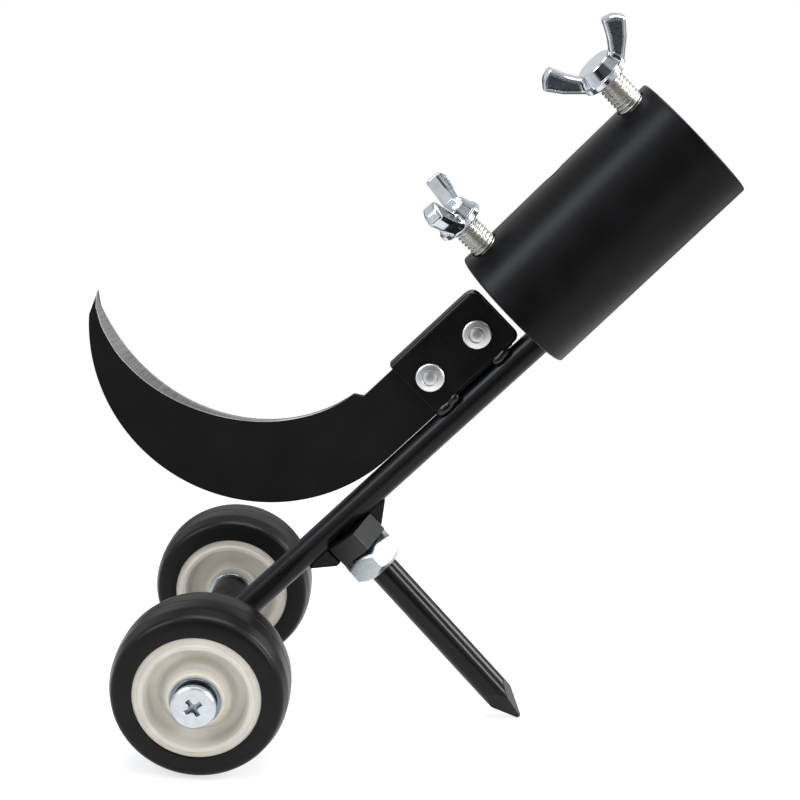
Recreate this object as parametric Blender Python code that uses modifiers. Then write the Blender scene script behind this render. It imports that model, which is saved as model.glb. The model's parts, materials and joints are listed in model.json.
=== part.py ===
"""Root weeder head: a sickle blade, two wheels and a pointed spike on a rod, with a socket for a handle.

Metres, +Z up. X runs from the blade's tip towards the socket, Y along the wheels' axle, away from the near
wheel. The head stands on its two wheels and on the tip of its spike, on Z = 0. The whole head hangs from one
empty, which puts the origin under the middle of its bounding box.
"""
import math

import bmesh
import bpy

# Overall layout, from the axle's centre
TYRE_RADIUS = 0.025
WHEEL_TRACK = 0.075                      # between the middles of the two tyres
ROD_ANGLE = math.radians(46)             # the rod's rise above the floor
TUBE_ANGLE = math.radians(47)            # the tube leans one degree more than the rod
SPIKE_ANGLE = math.radians(43)           # the spike stands square to this direction
ORIGIN_SHIFT = -0.0531                   # moves the axle so that the bounding box is centred on X = 0
GAP = 0.0003                             # clearance between touching pieces
MERGE = 0.00001

# Rod and axle bar
ROD_RADIUS = 0.004
ROD_DROP = -0.0004                       # the rod's axis passes just under the axle's
ROD_TOP = 0.150
AXLE_RADIUS = 0.006
AXLE_HALF_LENGTH = 0.0262
AXLE_HOLE_RADIUS = 0.0033
AXLE_HOLE_BOTTOM = 0.010

# Handle socket, along its own axis from the axle's level
TUBE_RADIUS = 0.020
TUBE_WALL = 0.0025
TUBE_START = 0.1310
TUBE_END = 0.2002
TUBE_OFFSET = 0.00897                    # of the tube's axis from the axle's, across the tube
LOWER_BOLT = 0.1384
UPPER_BOLT = 0.1936
SCREW_HOLE = 0.1659
BOLT_HOLE_RADIUS = 0.0043
SCREW_HOLE_RADIUS = 0.0034

# Wing bolts, M8
SCREW_HOLE_LEAN = math.radians(-6)
BOLT_LEAN = math.radians(10)              # of the row of bolts round the tube, towards the near side
THREAD_RADIUS = 0.0039
THREAD_ROOT = 0.0034
THREAD_PITCH = 0.00125
UPPER_REACH = 0.0097                     # of the stud outside the tube
LOWER_REACH = 0.0088
STUD_LENGTH = 0.020
HEAD_SOCKET_DEPTH = 0.0045
HEAD_RADIUS = 0.00675
HEAD_TOP_RADIUS = 0.0051
HEAD_HEIGHT = 0.0056
HEAD_EDGE = 0.0003
FLANGE_HEIGHT = 0.0014
WING_THICKNESS = 0.005
WING_EDGE = 0.0007
WING_PANEL_DEPTH = 0.0008
UPPER_WING_TURN = math.radians(-8)
LOWER_WING_TURN = math.radians(77)

# Spike, its coupling and its nut, M10, measured down the spike from the axle's level
SPIKE_PLACE = 0.05055
SPIKE_RADIUS = 0.0045
SPIKE_THREAD_RADIUS = 0.0049
SPIKE_THREAD_ROOT = 0.0043
SPIKE_PITCH = 0.0015
SPIKE_TOP = 0.0024
SPIKE_THREAD_END = 0.0172
SPIKE_SHOULDER = 0.0682                  # where the flats of the point start
SPIKE_TIP = 0.0808
SPIKE_BLUNT = 0.0005                     # half the width of the point's blunt end
POINT_TURN = math.radians(30)
HEX_ACROSS_FLATS = 0.016
HEX_BORE = 0.0052
COUPLING_TOP = 0.0012
COUPLING_BOTTOM = 0.0078
COUPLING_TURN = math.radians(48)
COUPLING_CHAMFER = 0.0003
NUT_TOP = 0.0082
NUT_BOTTOM = 0.0163
NUT_TURN = math.radians(44.5)
NUT_CHAMFER = 0.0006
GUSSET_THICKNESS = 0.003
# Each gusset along the rod and down from it; both stop above the corners of the nut as it turns
LOWER_GUSSET = [(0.0342, 0), (0.0342, 0.0006), (0.0403, 0.0053), (0.0500, 0.0053), (0.0500, 0)]
UPPER_GUSSET = [(0.0650, 0), (0.0500, 0), (0.0500, 0.0050), (0.0592, 0.0050), (0.0650, 0.0004)]

# Blade and bracket, in the rod's frame: along the rod, and out from it
BLADE_THICKNESS = 0.0024
OUTER_CENTRE = (0.01286, 0.11715)        # of the blade's back, X and Z from the point under the axle
OUTER_RADIUS = 0.0510
INNER_CENTRE = (0.02202, 0.13724)        # of the cutting edge, an arc that widens towards its tip
INNER_RADIUS = 0.0448
INNER_GROWTH = -0.01036                  # of its radius for each radian past straight down
BACK_END = math.radians(-184)            # where each arc ends, from the direction of X
EDGE_START = math.radians(-166)
EDGE_END = math.radians(-66)
TIP = (-0.0355, 0.1274)
GRIND_CENTRE = (0.00516, 0.1342)
GRIND_RADIUS = 0.04396
GRIND_SLOPE = 0.49
TANG_BOTTOM = 0.0039
TANG_TOP = 0.0222
TANG_TOUCH = 0.0752                      # where the back's arc meets the tang's straight edge
TANG_STEP = 0.0825
TANG_END = 0.1240
BRACKET_START = 0.0944
BRACKET_END = 0.1273
BRACKET_TOP = 0.0241
BRACKET_WALL = 0.0016
BRACKET_FOLD = 0.0018                    # outer radius of its folds
BRACKET_CORNER = 0.003                   # radius of its corners, seen from the side
FRONT_LEG = 0.0052                       # height of the near leg's edge over the rod's axis
BACK_LEG = 0.0037
LOWER_RIVET = 0.1007
UPPER_RIVET = 0.1190
RIVET_HEIGHT = 0.0136
BRACKET_WELDS = {                        # place along the rod, length, and side
    "lower_bracket_weld": (0.0985, 0.0085, -1),
    "upper_bracket_weld": (0.1195, 0.0060, -1),
    "back_bracket_weld": (0.1105, 0.0200, 1),
}
RIVET_RADIUS = 0.0024
RIVET_HEAD_RADIUS = 0.0041
RIVET_HEAD_HEIGHT = 0.0011
RIVET_REACH = 0.010                      # past both faces, for the tool that cuts a rivet's hole

# Wheels, out from the middle of the tyre
TYRE_HALF_WIDTH = 0.010
TYRE_SHOULDER = 0.0048
TYRE_BORE = 0.0180
HUB_RADIUS = 0.0177
SCREW_RADIUS = 0.0029
SCREW_HEAD_RADIUS = 0.0062
SCREW_TIP = -0.0255
SLEEVE_BORE = 0.0033
SLEEVE_RADIUS = 0.0047
HUB_BORE = 0.0050
WASHER_RADIUS = 0.0070
LOCK_WASHER_RADIUS = 0.0055
INNER_WASHER = (-0.0110, -0.0098)        # from and to, as the next four are
SLEEVE = (-0.0095, 0.0110)
OUTER_WASHER = (0.0113, 0.0122)
LOCK_WASHER = (0.0125, 0.0134)
SCREW_HEAD = (0.0137, 0.0156)
SPLIT_WIDTH = 0.0008                     # of the lock washer's slanted cut
SPLIT_SLANT = math.radians(30)
CROSS_SIZE = (0.0056, 0.0013, 0.0030)    # length, width and twice the depth of one slot
CROSS_TURN = math.radians(35)
TYRE_EDGE = 0.0005

# The hub's section, radius and height from its middle: a boss for each side, then dish, bead and rim
OUTER_BOSS = [(HUB_BORE, 0.0110), (0.0075, 0.0110), (0.0083, 0.0100), (0.0092, 0.0062)]
INNER_BOSS = [(HUB_BORE, 0.0076), (0.0076, 0.0076), (0.0086, 0.0058)]
HUB_FACE = [(0.0106, 0.0042), (0.0130, 0.0056), (0.0140, 0.0092), (0.0150, 0.0104), (0.0158, 0.0104),
            (0.0166, 0.0097), (HUB_RADIUS, 0.0097)]

COLOURS = {
    "black paint": ((0.020, 0.021, 0.024), 0.0, 0.42),
    "blade coat": ((0.014, 0.014, 0.014), 0.0, 0.62),
    "zinc plate": ((0.66, 0.70, 0.74), 1.0, 0.25),
    "rivet steel": ((0.60, 0.60, 0.60), 1.0, 0.32),
    "rubber": ((0.018, 0.018, 0.020), 0.0, 0.55),
    "cream plastic": ((0.62, 0.56, 0.47), 0.0, 0.40),
    "spring steel": ((0.10, 0.13, 0.15), 1.0, 0.40),
}


def clear_scene():
    """Removes what a new file starts with."""
    for obj in list(bpy.data.objects):
        bpy.data.objects.remove(obj, do_unlink=True)


clear_scene()
PARTS = bpy.data.collections.new("root weeder")
CUTTERS = bpy.data.collections.new("cutters")
bpy.context.scene.collection.children.link(PARTS)
bpy.context.scene.collection.children.link(CUTTERS)


def material(name):
    """The finish of that name, made when it is first asked for."""
    found = bpy.data.materials.get(name)
    if found:
        return found
    colour, metallic, roughness = COLOURS[name]
    made = bpy.data.materials.new(name)
    made.use_nodes = True
    shader = made.node_tree.nodes["Principled BSDF"]
    shader.inputs["Base Color"].default_value = (*colour, 1.0)
    shader.inputs["Metallic"].default_value = metallic
    shader.inputs["Roughness"].default_value = roughness
    return made


def empty(name, parent=None, location=(0, 0, 0), turn=(0, 0, 0)):
    """An empty that carries a group of pieces."""
    made = bpy.data.objects.new(name, None)
    made.parent = parent
    made.location = location
    made.rotation_euler = turn
    PARTS.objects.link(made)
    return made


def mesh_object(name, build, parent=None, location=(0, 0, 0), turn=(0, 0, 0), finish=None):
    """A new object whose mesh is filled by build(bm); without a finish it is a cutter."""
    mesh = bpy.data.meshes.new(name)
    bm = bmesh.new()
    build(bm)
    bm.to_mesh(mesh)
    bm.free()
    made = bpy.data.objects.new(name, mesh)
    made.parent = parent
    made.location = location
    made.rotation_euler = turn
    if finish is None:
        CUTTERS.objects.link(made)
        made.hide_render = True
        made.display_type = "WIRE"
    else:
        PARTS.objects.link(made)
        mesh.materials.append(material(finish))
    return made


def cylinder(name, radius, low, high, sides=32, top_radius=None, **place):
    """A closed cylinder or cone along local Z, from low to high."""
    def build(bm):
        end = radius if top_radius is None else top_radius
        bmesh.ops.create_cone(bm, cap_ends=True, segments=sides, radius1=radius, radius2=end,
                              depth=high - low)
        bmesh.ops.translate(bm, verts=bm.verts, vec=(0, 0, (low + high) / 2))
    return mesh_object(name, build, **place)


def box(name, size, **place):
    """A box with its middle on the local origin."""
    def build(bm):
        bmesh.ops.create_cube(bm, size=1.0)
        bmesh.ops.scale(bm, verts=bm.verts, vec=size)
    return mesh_object(name, build, **place)


def turned(name, profile, sides=40, loop=False, **place):
    """A Screw modifier on a profile of (radius, height) pairs that runs down its outer side.

    An open profile starts and ends on the axis. A loop closes on itself, for a ring or a washer.
    """
    def build(bm):
        verts = [bm.verts.new((radius, 0, height)) for radius, height in profile]
        for first, second in zip(verts, verts[1:]):
            bm.edges.new((first, second))
        if loop:
            bm.edges.new((verts[-1], verts[0]))
    made = mesh_object(name, build, **place)
    screw = made.modifiers.new("Turn", "SCREW")
    screw.axis = "Z"
    screw.steps = sides
    screw.render_steps = sides
    screw.use_merge_vertices = True
    screw.merge_threshold = MERGE
    screw.use_normal_calculate = False
    return made


def plate(name, outline, thickness, finish=None, parent=None, location=(0, 0, 0), turn=(0, 0, 0)):
    """A flat outline of (x, y) points, filled and extruded both ways, made a mesh.

    Its outline lies in the object's local XY plane, and its thickness along local Z.
    """
    curve = bpy.data.curves.new(name, "CURVE")
    curve.dimensions = "2D"
    curve.fill_mode = "BOTH"
    curve.extrude = thickness / 2
    spline = curve.splines.new("POLY")
    spline.points.add(len(outline) - 1)
    for point, (across, up) in zip(spline.points, outline):
        point.co = (across, up, 0, 1)
    spline.use_cyclic_u = True
    drawn = bpy.data.objects.new(name + " outline", curve)
    CUTTERS.objects.link(drawn)
    evaluated = drawn.evaluated_get(bpy.context.evaluated_depsgraph_get())
    mesh = bpy.data.meshes.new_from_object(evaluated)
    bpy.data.objects.remove(drawn, do_unlink=True)
    bm = bmesh.new()
    bm.from_mesh(mesh)
    bmesh.ops.remove_doubles(bm, verts=bm.verts, dist=MERGE)
    bmesh.ops.recalc_face_normals(bm, faces=bm.faces)
    bm.to_mesh(mesh)
    bm.free()
    made = bpy.data.objects.new(name, mesh)
    mesh.materials.clear()
    made.parent = parent
    made.location = location
    made.rotation_euler = turn
    if finish is None:
        CUTTERS.objects.link(made)
        made.hide_render = True
        made.display_type = "WIRE"
    else:
        PARTS.objects.link(made)
        mesh.materials.append(material(finish))
    return made


def boolean(piece, tool, operation="DIFFERENCE"):
    """Cuts the piece with a tool, or joins the tool to it."""
    cut = piece.modifiers.new(tool.name, "BOOLEAN")
    cut.operation = operation
    cut.solver = "EXACT"
    cut.object = tool
    return piece


def bevel(piece, width, segments=2, angle=math.radians(40)):
    """Rounds the piece's sharp edges."""
    rounding = piece.modifiers.new("Rounding", "BEVEL")
    rounding.width = width
    rounding.segments = segments
    rounding.limit_method = "ANGLE"
    rounding.angle_limit = angle
    return piece


def smooth(piece, angle=math.radians(35)):
    """Shades a round piece smooth, up to its sharp edges."""
    piece.data.shade_smooth()
    piece.data.set_sharp_from_angle(angle=angle)
    return piece


def arc(centre, radius, start, end, steps):
    """Points along a circular arc, angles in radians."""
    angles = [start + (end - start) * step / steps for step in range(steps + 1)]
    return [(centre[0] + radius * math.cos(a), centre[1] + radius * math.sin(a)) for a in angles]


def ring_profile(inner, outer, low, high):
    """The loop of a flat ring, down its outer side and up its inner one."""
    return [(outer, high), (outer, low), (inner, low), (inner, high)]


def along(frame_angle, distance, out):
    """X and Z, from the axle's centre, of a point in a frame that leans by the angle."""
    cosine, sine = math.cos(frame_angle), math.sin(frame_angle)
    return distance * cosine - out * sine, distance * sine + out * cosine


# Frames: local X runs up the rod, tube or spike's square, local Z out from it, local Y along the axle
ROOT = empty("root_weeder", location=(ORIGIN_SHIFT, 0, TYRE_RADIUS))
ROD_FRAME = empty("rod_frame", ROOT, turn=(0, -ROD_ANGLE, 0))
TUBE_FRAME = empty("tube_frame", ROOT, turn=(0, -TUBE_ANGLE, 0))
SPIKE_FRAME = empty("spike_frame", ROOT, turn=(0, -SPIKE_ANGLE, 0))
BOLT_FRAME = empty("bolt_frame", TUBE_FRAME, (0, 0, TUBE_OFFSET), (BOLT_LEAN, 0, 0))
FACE_ON = (math.radians(90), 0, 0)       # turns a plate's XY plane into its frame's XZ plane
LENGTHWAYS = (0, math.radians(90), 0)    # turns local Z along the frame's X


def make_socket_tube():
    """The handle's tube, with two bolt holes and a screw hole through its upper wall."""
    bore = TUBE_RADIUS - TUBE_WALL
    edge = 0.0004
    profile = [(TUBE_RADIUS - edge, TUBE_END), (TUBE_RADIUS, TUBE_END - edge),
               (TUBE_RADIUS, TUBE_START + edge), (TUBE_RADIUS - edge, TUBE_START),
               (bore, TUBE_START), (bore, TUBE_END)]
    tube = turned("socket_tube", profile, sides=48, loop=True, parent=TUBE_FRAME, finish="black paint",
                  location=(0, 0, TUBE_OFFSET), turn=LENGTHWAYS)
    holes = (("lower bolt hole", LOWER_BOLT, BOLT_HOLE_RADIUS, BOLT_LEAN),
             ("upper bolt hole", UPPER_BOLT, BOLT_HOLE_RADIUS, BOLT_LEAN),
             ("screw hole", SCREW_HOLE, SCREW_HOLE_RADIUS, SCREW_HOLE_LEAN))
    for name, place, radius, lean in holes:
        boolean(tube, cylinder(name, radius, bore - TUBE_WALL * 2, TUBE_RADIUS + TUBE_WALL, sides=20,
                               parent=TUBE_FRAME, location=(place, 0, TUBE_OFFSET), turn=(lean, 0, 0)))
    return smooth(tube)


def make_main_rod():
    """The round rod that carries everything, from the axle bar up into the tube."""
    foot = AXLE_RADIUS + GAP
    return smooth(cylinder("main_rod", ROD_RADIUS, foot, ROD_TOP, sides=28, parent=ROD_FRAME,
                           location=(0, 0, ROD_DROP), turn=LENGTHWAYS, finish="black paint"))


def rod_seat(name, start, end):
    """A cutter that leaves the usual clearance round a stretch of the rod."""
    return cylinder(name, ROD_RADIUS + GAP, start, end, sides=28, parent=ROD_FRAME,
                    location=(0, 0, ROD_DROP), turn=LENGTHWAYS)


def make_axle_bar():
    """The bar across the foot of the rod, with a blind hole in each end for a wheel's screw."""
    edge = 0.0004
    profile = [(0, AXLE_HOLE_BOTTOM), (AXLE_HOLE_RADIUS, AXLE_HOLE_BOTTOM),
               (AXLE_HOLE_RADIUS, AXLE_HALF_LENGTH), (AXLE_RADIUS - edge, AXLE_HALF_LENGTH),
               (AXLE_RADIUS, AXLE_HALF_LENGTH - edge)]
    mirrored = [(radius, -height) for radius, height in reversed(profile)]
    return smooth(turned("axle_bar", profile + mirrored, sides=24, parent=ROOT, turn=FACE_ON,
                         finish="black paint"))


def make_axle_weld():
    """The bead round the rod's foot, hollowed to sit on the axle bar."""
    width, rise, toe, root = 0.0022, 0.0030, 0.0005, 0.0010
    seat = math.sqrt((AXLE_RADIUS + GAP) ** 2 - (ROD_RADIUS + width) ** 2 / 4)
    inner = ROD_RADIUS + GAP
    profile = [(inner + toe, seat + rise), (inner + width, seat + toe), (inner + width, root),
               (inner, root), (inner, seat + rise)]
    weld = turned("axle_weld", profile, sides=24, loop=True, parent=ROD_FRAME,
                  location=(0, 0, ROD_DROP), turn=LENGTHWAYS, finish="black paint")
    boolean(weld, cylinder("axle seat", AXLE_RADIUS + GAP, -AXLE_HALF_LENGTH, AXLE_HALF_LENGTH, sides=32,
                           parent=ROOT, turn=FACE_ON))
    return smooth(weld)


def make_socket_weld():
    """The bead that fills the slit between the rod and the tube's inner wall."""
    length, width, inset, level = 0.016, 0.006, 0.002, -0.0078
    place = TUBE_START + inset + length / 2
    weld = box("socket_weld", (length, width, width), parent=TUBE_FRAME, location=(place, 0, level),
               finish="black paint")
    keep = cylinder("inside of tube", TUBE_RADIUS - TUBE_WALL - GAP, TUBE_START, TUBE_END, sides=64,
                    parent=TUBE_FRAME, location=(0, 0, TUBE_OFFSET), turn=LENGTHWAYS)
    boolean(weld, keep, "INTERSECT")
    return boolean(weld, rod_seat("rod seat", place - length, place + length))


def hexagon(name, top, bottom, turn, chamfer, finish):
    """A hexagon of the nut's size round the spike's axis, with its corners turned off at both ends."""
    corner = HEX_ACROSS_FLATS / 2 / math.cos(math.radians(30))
    nut = cylinder(name, corner, -bottom, -top, sides=6, parent=SPIKE_FRAME,
                   location=(SPIKE_PLACE, 0, 0), turn=(0, 0, turn), finish=finish)
    slope = math.tan(math.radians(30))
    face = corner - chamfer / slope
    spare = 0.001
    low_face = chamfer + spare * slope
    profile = [(0, -top), (face, -top), (corner + spare, -top - low_face),
               (corner + spare, low_face - bottom), (face, -bottom), (0, -bottom)]
    boolean(nut, turned(name + " chamfer", profile, sides=24, parent=SPIKE_FRAME,
                        location=(SPIKE_PLACE, 0, 0)), "INTERSECT")
    boolean(nut, cylinder(name + " bore", HEX_BORE, -bottom - spare, spare - top, sides=24,
                          parent=SPIKE_FRAME, location=(SPIKE_PLACE, 0, 0)))
    return nut


def make_spike_coupling():
    """The black hexagon under the rod that the spike screws into, hollowed on top to fit the rod."""
    coupling = hexagon("spike_coupling", COUPLING_TOP, COUPLING_BOTTOM, COUPLING_TURN, COUPLING_CHAMFER,
                       "black paint")
    reach = HEX_ACROSS_FLATS
    return boolean(coupling, rod_seat("coupling seat", SPIKE_PLACE - reach, SPIKE_PLACE + reach))


def make_jam_nut():
    """The plated nut that locks the spike against the coupling."""
    return hexagon("jam_nut", NUT_TOP, NUT_BOTTOM, NUT_TURN, NUT_CHAMFER, "zinc plate")


def make_gussets():
    """The two triangular plates that brace the coupling against the rod."""
    underside = ROD_DROP - ROD_RADIUS - GAP
    keep_off = (HEX_ACROSS_FLATS / 2 + GAP) / math.cos(math.radians(30))
    for name, corners in (("lower_gusset", LOWER_GUSSET), ("upper_gusset", UPPER_GUSSET)):
        outline = [(distance, underside - drop) for distance, drop in corners]
        gusset = plate(name, outline, GUSSET_THICKNESS, "black paint", ROD_FRAME, turn=FACE_ON)
        boolean(gusset, cylinder(name + " seat", keep_off, -NUT_BOTTOM, COUPLING_TOP, sides=6,
                                 parent=SPIKE_FRAME, location=(SPIKE_PLACE, 0, 0),
                                 turn=(0, 0, COUPLING_TURN)))


def threaded(crest, root, pitch, top, bottom):
    """A profile down a thread cut as rings: one crest and one root for each pitch."""
    points = []
    turns = int((top - bottom) / pitch)
    for turn in range(turns):
        height = top - turn * pitch
        points += [(crest, height - pitch * 0.45), (root, height - pitch)]
    return points


def make_spike():
    """The prop: a threaded end in the coupling, a plain bar and a four-sided point."""
    profile = [(0, -SPIKE_TOP), (SPIKE_THREAD_ROOT, -SPIKE_TOP)]
    profile += threaded(SPIKE_THREAD_RADIUS, SPIKE_THREAD_ROOT, SPIKE_PITCH, -SPIKE_TOP, -SPIKE_THREAD_END)
    profile += [(SPIKE_RADIUS, -SPIKE_THREAD_END), (SPIKE_RADIUS, -SPIKE_TIP), (0, -SPIKE_TIP)]
    spike = turned("spike", profile, sides=16, parent=SPIKE_FRAME, location=(SPIKE_PLACE, 0, 0),
                   finish="black paint")
    height = 0.1
    slope = (SPIKE_RADIUS - SPIKE_BLUNT) / (SPIKE_TIP - SPIKE_SHOULDER)
    wide = SPIKE_BLUNT + slope * height
    point = cylinder("point", SPIKE_BLUNT * math.sqrt(2), -SPIKE_TIP, height - SPIKE_TIP, sides=4,
                     top_radius=wide * math.sqrt(2), parent=SPIKE_FRAME, location=(SPIKE_PLACE, 0, 0),
                     turn=(0, 0, POINT_TURN))
    return smooth(boolean(spike, point, "INTERSECT"))


def blade_outline():
    """The blade seen from its near side, in X and Z from the point under the axle."""
    def in_world(distance, out):
        across, up = along(ROD_ANGLE, distance, out)
        return across, up + TYRE_RADIUS

    steps = 34
    touch = ROD_ANGLE - math.radians(90)         # where the back runs straight into the tang
    back = arc(OUTER_CENTRE, OUTER_RADIUS, touch, BACK_END, steps)
    tang_x, tang_z = in_world(TANG_TOUCH, TANG_BOTTOM)
    gap_x, gap_z = tang_x - back[0][0], tang_z - back[0][1]
    back = [(across + gap_x * (1 - step / steps), up + gap_z * (1 - step / steps))
            for step, (across, up) in enumerate(back)]
    edge = []
    for step in range(steps + 1):
        angle = EDGE_START + (EDGE_END - EDGE_START) * step / steps
        radius = INNER_RADIUS + INNER_GROWTH * (angle + math.pi / 2)
        edge.append((INNER_CENTRE[0] + radius * math.cos(angle), INNER_CENTRE[1] + radius * math.sin(angle)))
    tang = [in_world(TANG_STEP, TANG_TOP), in_world(TANG_END, TANG_TOP), in_world(TANG_END, TANG_BOTTOM)]
    return back + [TIP] + edge + tang


def make_blade():
    """The sickle blade: flat, with its inner edge ground on the near face only."""
    outline = [(across, up - TYRE_RADIUS) for across, up in blade_outline()]
    blade = plate("blade", outline, BLADE_THICKNESS, "blade coat", ROOT, turn=FACE_ON)
    deep = BLADE_THICKNESS
    grind = cylinder("grinding cone", GRIND_RADIUS - deep / GRIND_SLOPE, -deep, deep,
                     sides=96, top_radius=GRIND_RADIUS + deep / GRIND_SLOPE, parent=ROOT,
                     location=(GRIND_CENTRE[0], -BLADE_THICKNESS / 2, GRIND_CENTRE[1] - TYRE_RADIUS),
                     turn=FACE_ON)
    boolean(blade, grind)
    for name, place in (("lower tang hole", LOWER_RIVET), ("upper tang hole", UPPER_RIVET)):
        boolean(blade, cylinder(name, RIVET_RADIUS + GAP, -RIVET_REACH, RIVET_REACH, sides=16,
                                parent=ROD_FRAME, location=(place, 0, RIVET_HEIGHT), turn=FACE_ON))
    return blade


def make_bracket():
    """The sheet folded over the tang: a short near leg, and a far leg that reaches down to the rod."""
    inner = BLADE_THICKNESS / 2 + GAP
    outer = inner + BRACKET_WALL
    length = BRACKET_END - BRACKET_START
    middle = (BRACKET_START + BRACKET_END) / 2
    fold, level = BRACKET_FOLD, BRACKET_TOP - BRACKET_FOLD
    section = [(outer, BACK_LEG), (outer, level)]
    section += arc((outer - fold, level), fold, math.radians(18), math.radians(90), 4)
    section += arc((fold - outer, level), fold, math.radians(90), math.radians(162), 4)
    ceiling = BRACKET_TOP - BRACKET_WALL
    section += [(-outer, level), (-outer, FRONT_LEG), (-inner, FRONT_LEG), (-inner, ceiling),
                (inner, ceiling), (inner, BACK_LEG)]
    bracket = plate("blade_bracket", section, length, "black paint", ROD_FRAME, (middle, 0, 0),
                    (math.radians(90), 0, math.radians(90)))
    corner = BRACKET_CORNER
    spare = 0.002
    high = [(BRACKET_END - corner, BRACKET_TOP + spare), (BRACKET_END - corner, BRACKET_TOP)]
    high += arc((BRACKET_END - corner, BRACKET_TOP - corner), corner, math.radians(75), 0, 5)
    high += [(BRACKET_END + spare, BRACKET_TOP - corner), (BRACKET_END + spare, BRACKET_TOP + spare)]
    boolean(bracket, plate("upper corner", high, outer * 4, parent=ROD_FRAME, turn=FACE_ON))
    low = [(BRACKET_END + spare, FRONT_LEG - spare), (BRACKET_END + spare, FRONT_LEG + corner)]
    low += arc((BRACKET_END - corner, FRONT_LEG + corner), corner, 0, math.radians(-75), 5)
    low += [(BRACKET_END - corner, FRONT_LEG - spare)]
    boolean(bracket, plate("near leg's corner", low, BRACKET_WALL + 2 * GAP, parent=ROD_FRAME,
                           location=(0, -inner - BRACKET_WALL / 2, 0), turn=FACE_ON))
    for name, place in (("lower rivet hole", LOWER_RIVET), ("upper rivet hole", UPPER_RIVET)):
        boolean(bracket, cylinder(name, RIVET_RADIUS + GAP, -RIVET_REACH, RIVET_REACH, sides=16,
                                  parent=ROD_FRAME, location=(place, 0, RIVET_HEIGHT), turn=FACE_ON))
    return bracket


def make_rivet(name, place):
    """A steel rivet through bracket and tang, with a flat rim and a raised middle on each head."""
    seat = BLADE_THICKNESS / 2 + GAP + BRACKET_WALL + GAP
    top = seat + RIVET_HEAD_HEIGHT
    crown, groove, rim = 0.0002, 0.0003, 0.0004
    half = [(0, top + crown), (RIVET_RADIUS * 0.5, top + crown / 2), (RIVET_RADIUS * 0.92, top - groove),
            (RIVET_RADIUS * 1.08, top), (RIVET_HEAD_RADIUS * 0.8, top),
            (RIVET_HEAD_RADIUS, seat + rim), (RIVET_HEAD_RADIUS, seat), (RIVET_RADIUS, seat)]
    profile = half + [(radius, -height) for radius, height in reversed(half)]
    return smooth(turned(name, profile, sides=16, parent=ROD_FRAME, location=(place, 0, RIVET_HEIGHT),
                         turn=FACE_ON, finish="rivet steel"))


def make_bracket_weld(name, place, length, side):
    """A short bead between the bracket's leg and the rod, on the near side, -1, or the far side, 1."""
    inner = BLADE_THICKNESS / 2 + GAP
    half_width, half_height, drop = 0.0021, 0.0024, 0.0018

    def build(bm):
        bmesh.ops.create_uvsphere(bm, u_segments=14, v_segments=8, radius=1.0)
        bmesh.ops.scale(bm, verts=bm.verts, vec=(length / 2, half_width, half_height))

    leg = FRONT_LEG if side < 0 else BACK_LEG
    weld = mesh_object(name, build, parent=ROD_FRAME, finish="black paint",
                       location=(place, side * (inner + BRACKET_WALL * 0.75), leg - drop))
    seat = rod_seat(name + " rod seat", place - length, place + length)
    room = 0.01
    above = box(name + " leg seat", (length * 2, BRACKET_WALL + 2 * GAP, room), parent=ROD_FRAME,
                location=(place, side * (inner + BRACKET_WALL / 2), leg - GAP + room / 2))
    inside = box(name + " blade seat", (length * 2, 2 * inner, room * 2), parent=ROD_FRAME,
                 location=(place, 0, leg))
    for tool in (seat, above, inside):
        boolean(weld, tool)
    return weld


def wing_outline():
    """One wing, as distance from the bolt's axis and height over the flange's underside."""
    return [(0.0030, 0.0009), (0.0067, 0.0009), (0.0111, 0.0052), (0.0142, 0.0094), (0.0142, 0.0103),
            (0.0128, 0.0121), (0.0103, 0.0131), (0.0093, 0.0129), (0.0073, 0.0084), (0.0049, 0.0048),
            (0.0030, 0.0040)]


def panel_outline():
    """The sunk panel in a wing's flat side, set in from the wing's rim."""
    return [(0.0070, 0.0023), (0.0105, 0.0058), (0.0133, 0.0098), (0.0121, 0.0112), (0.0100, 0.0121),
            (0.0081, 0.0081), (0.0058, 0.0050)]


def wing_frame(name, place, reach, turn):
    """An empty on a wing bolt's axis, at the underside of its head, turned with its wings."""
    return empty(name, BOLT_FRAME, (place, 0, TUBE_RADIUS + reach), (0, 0, turn))


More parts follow.
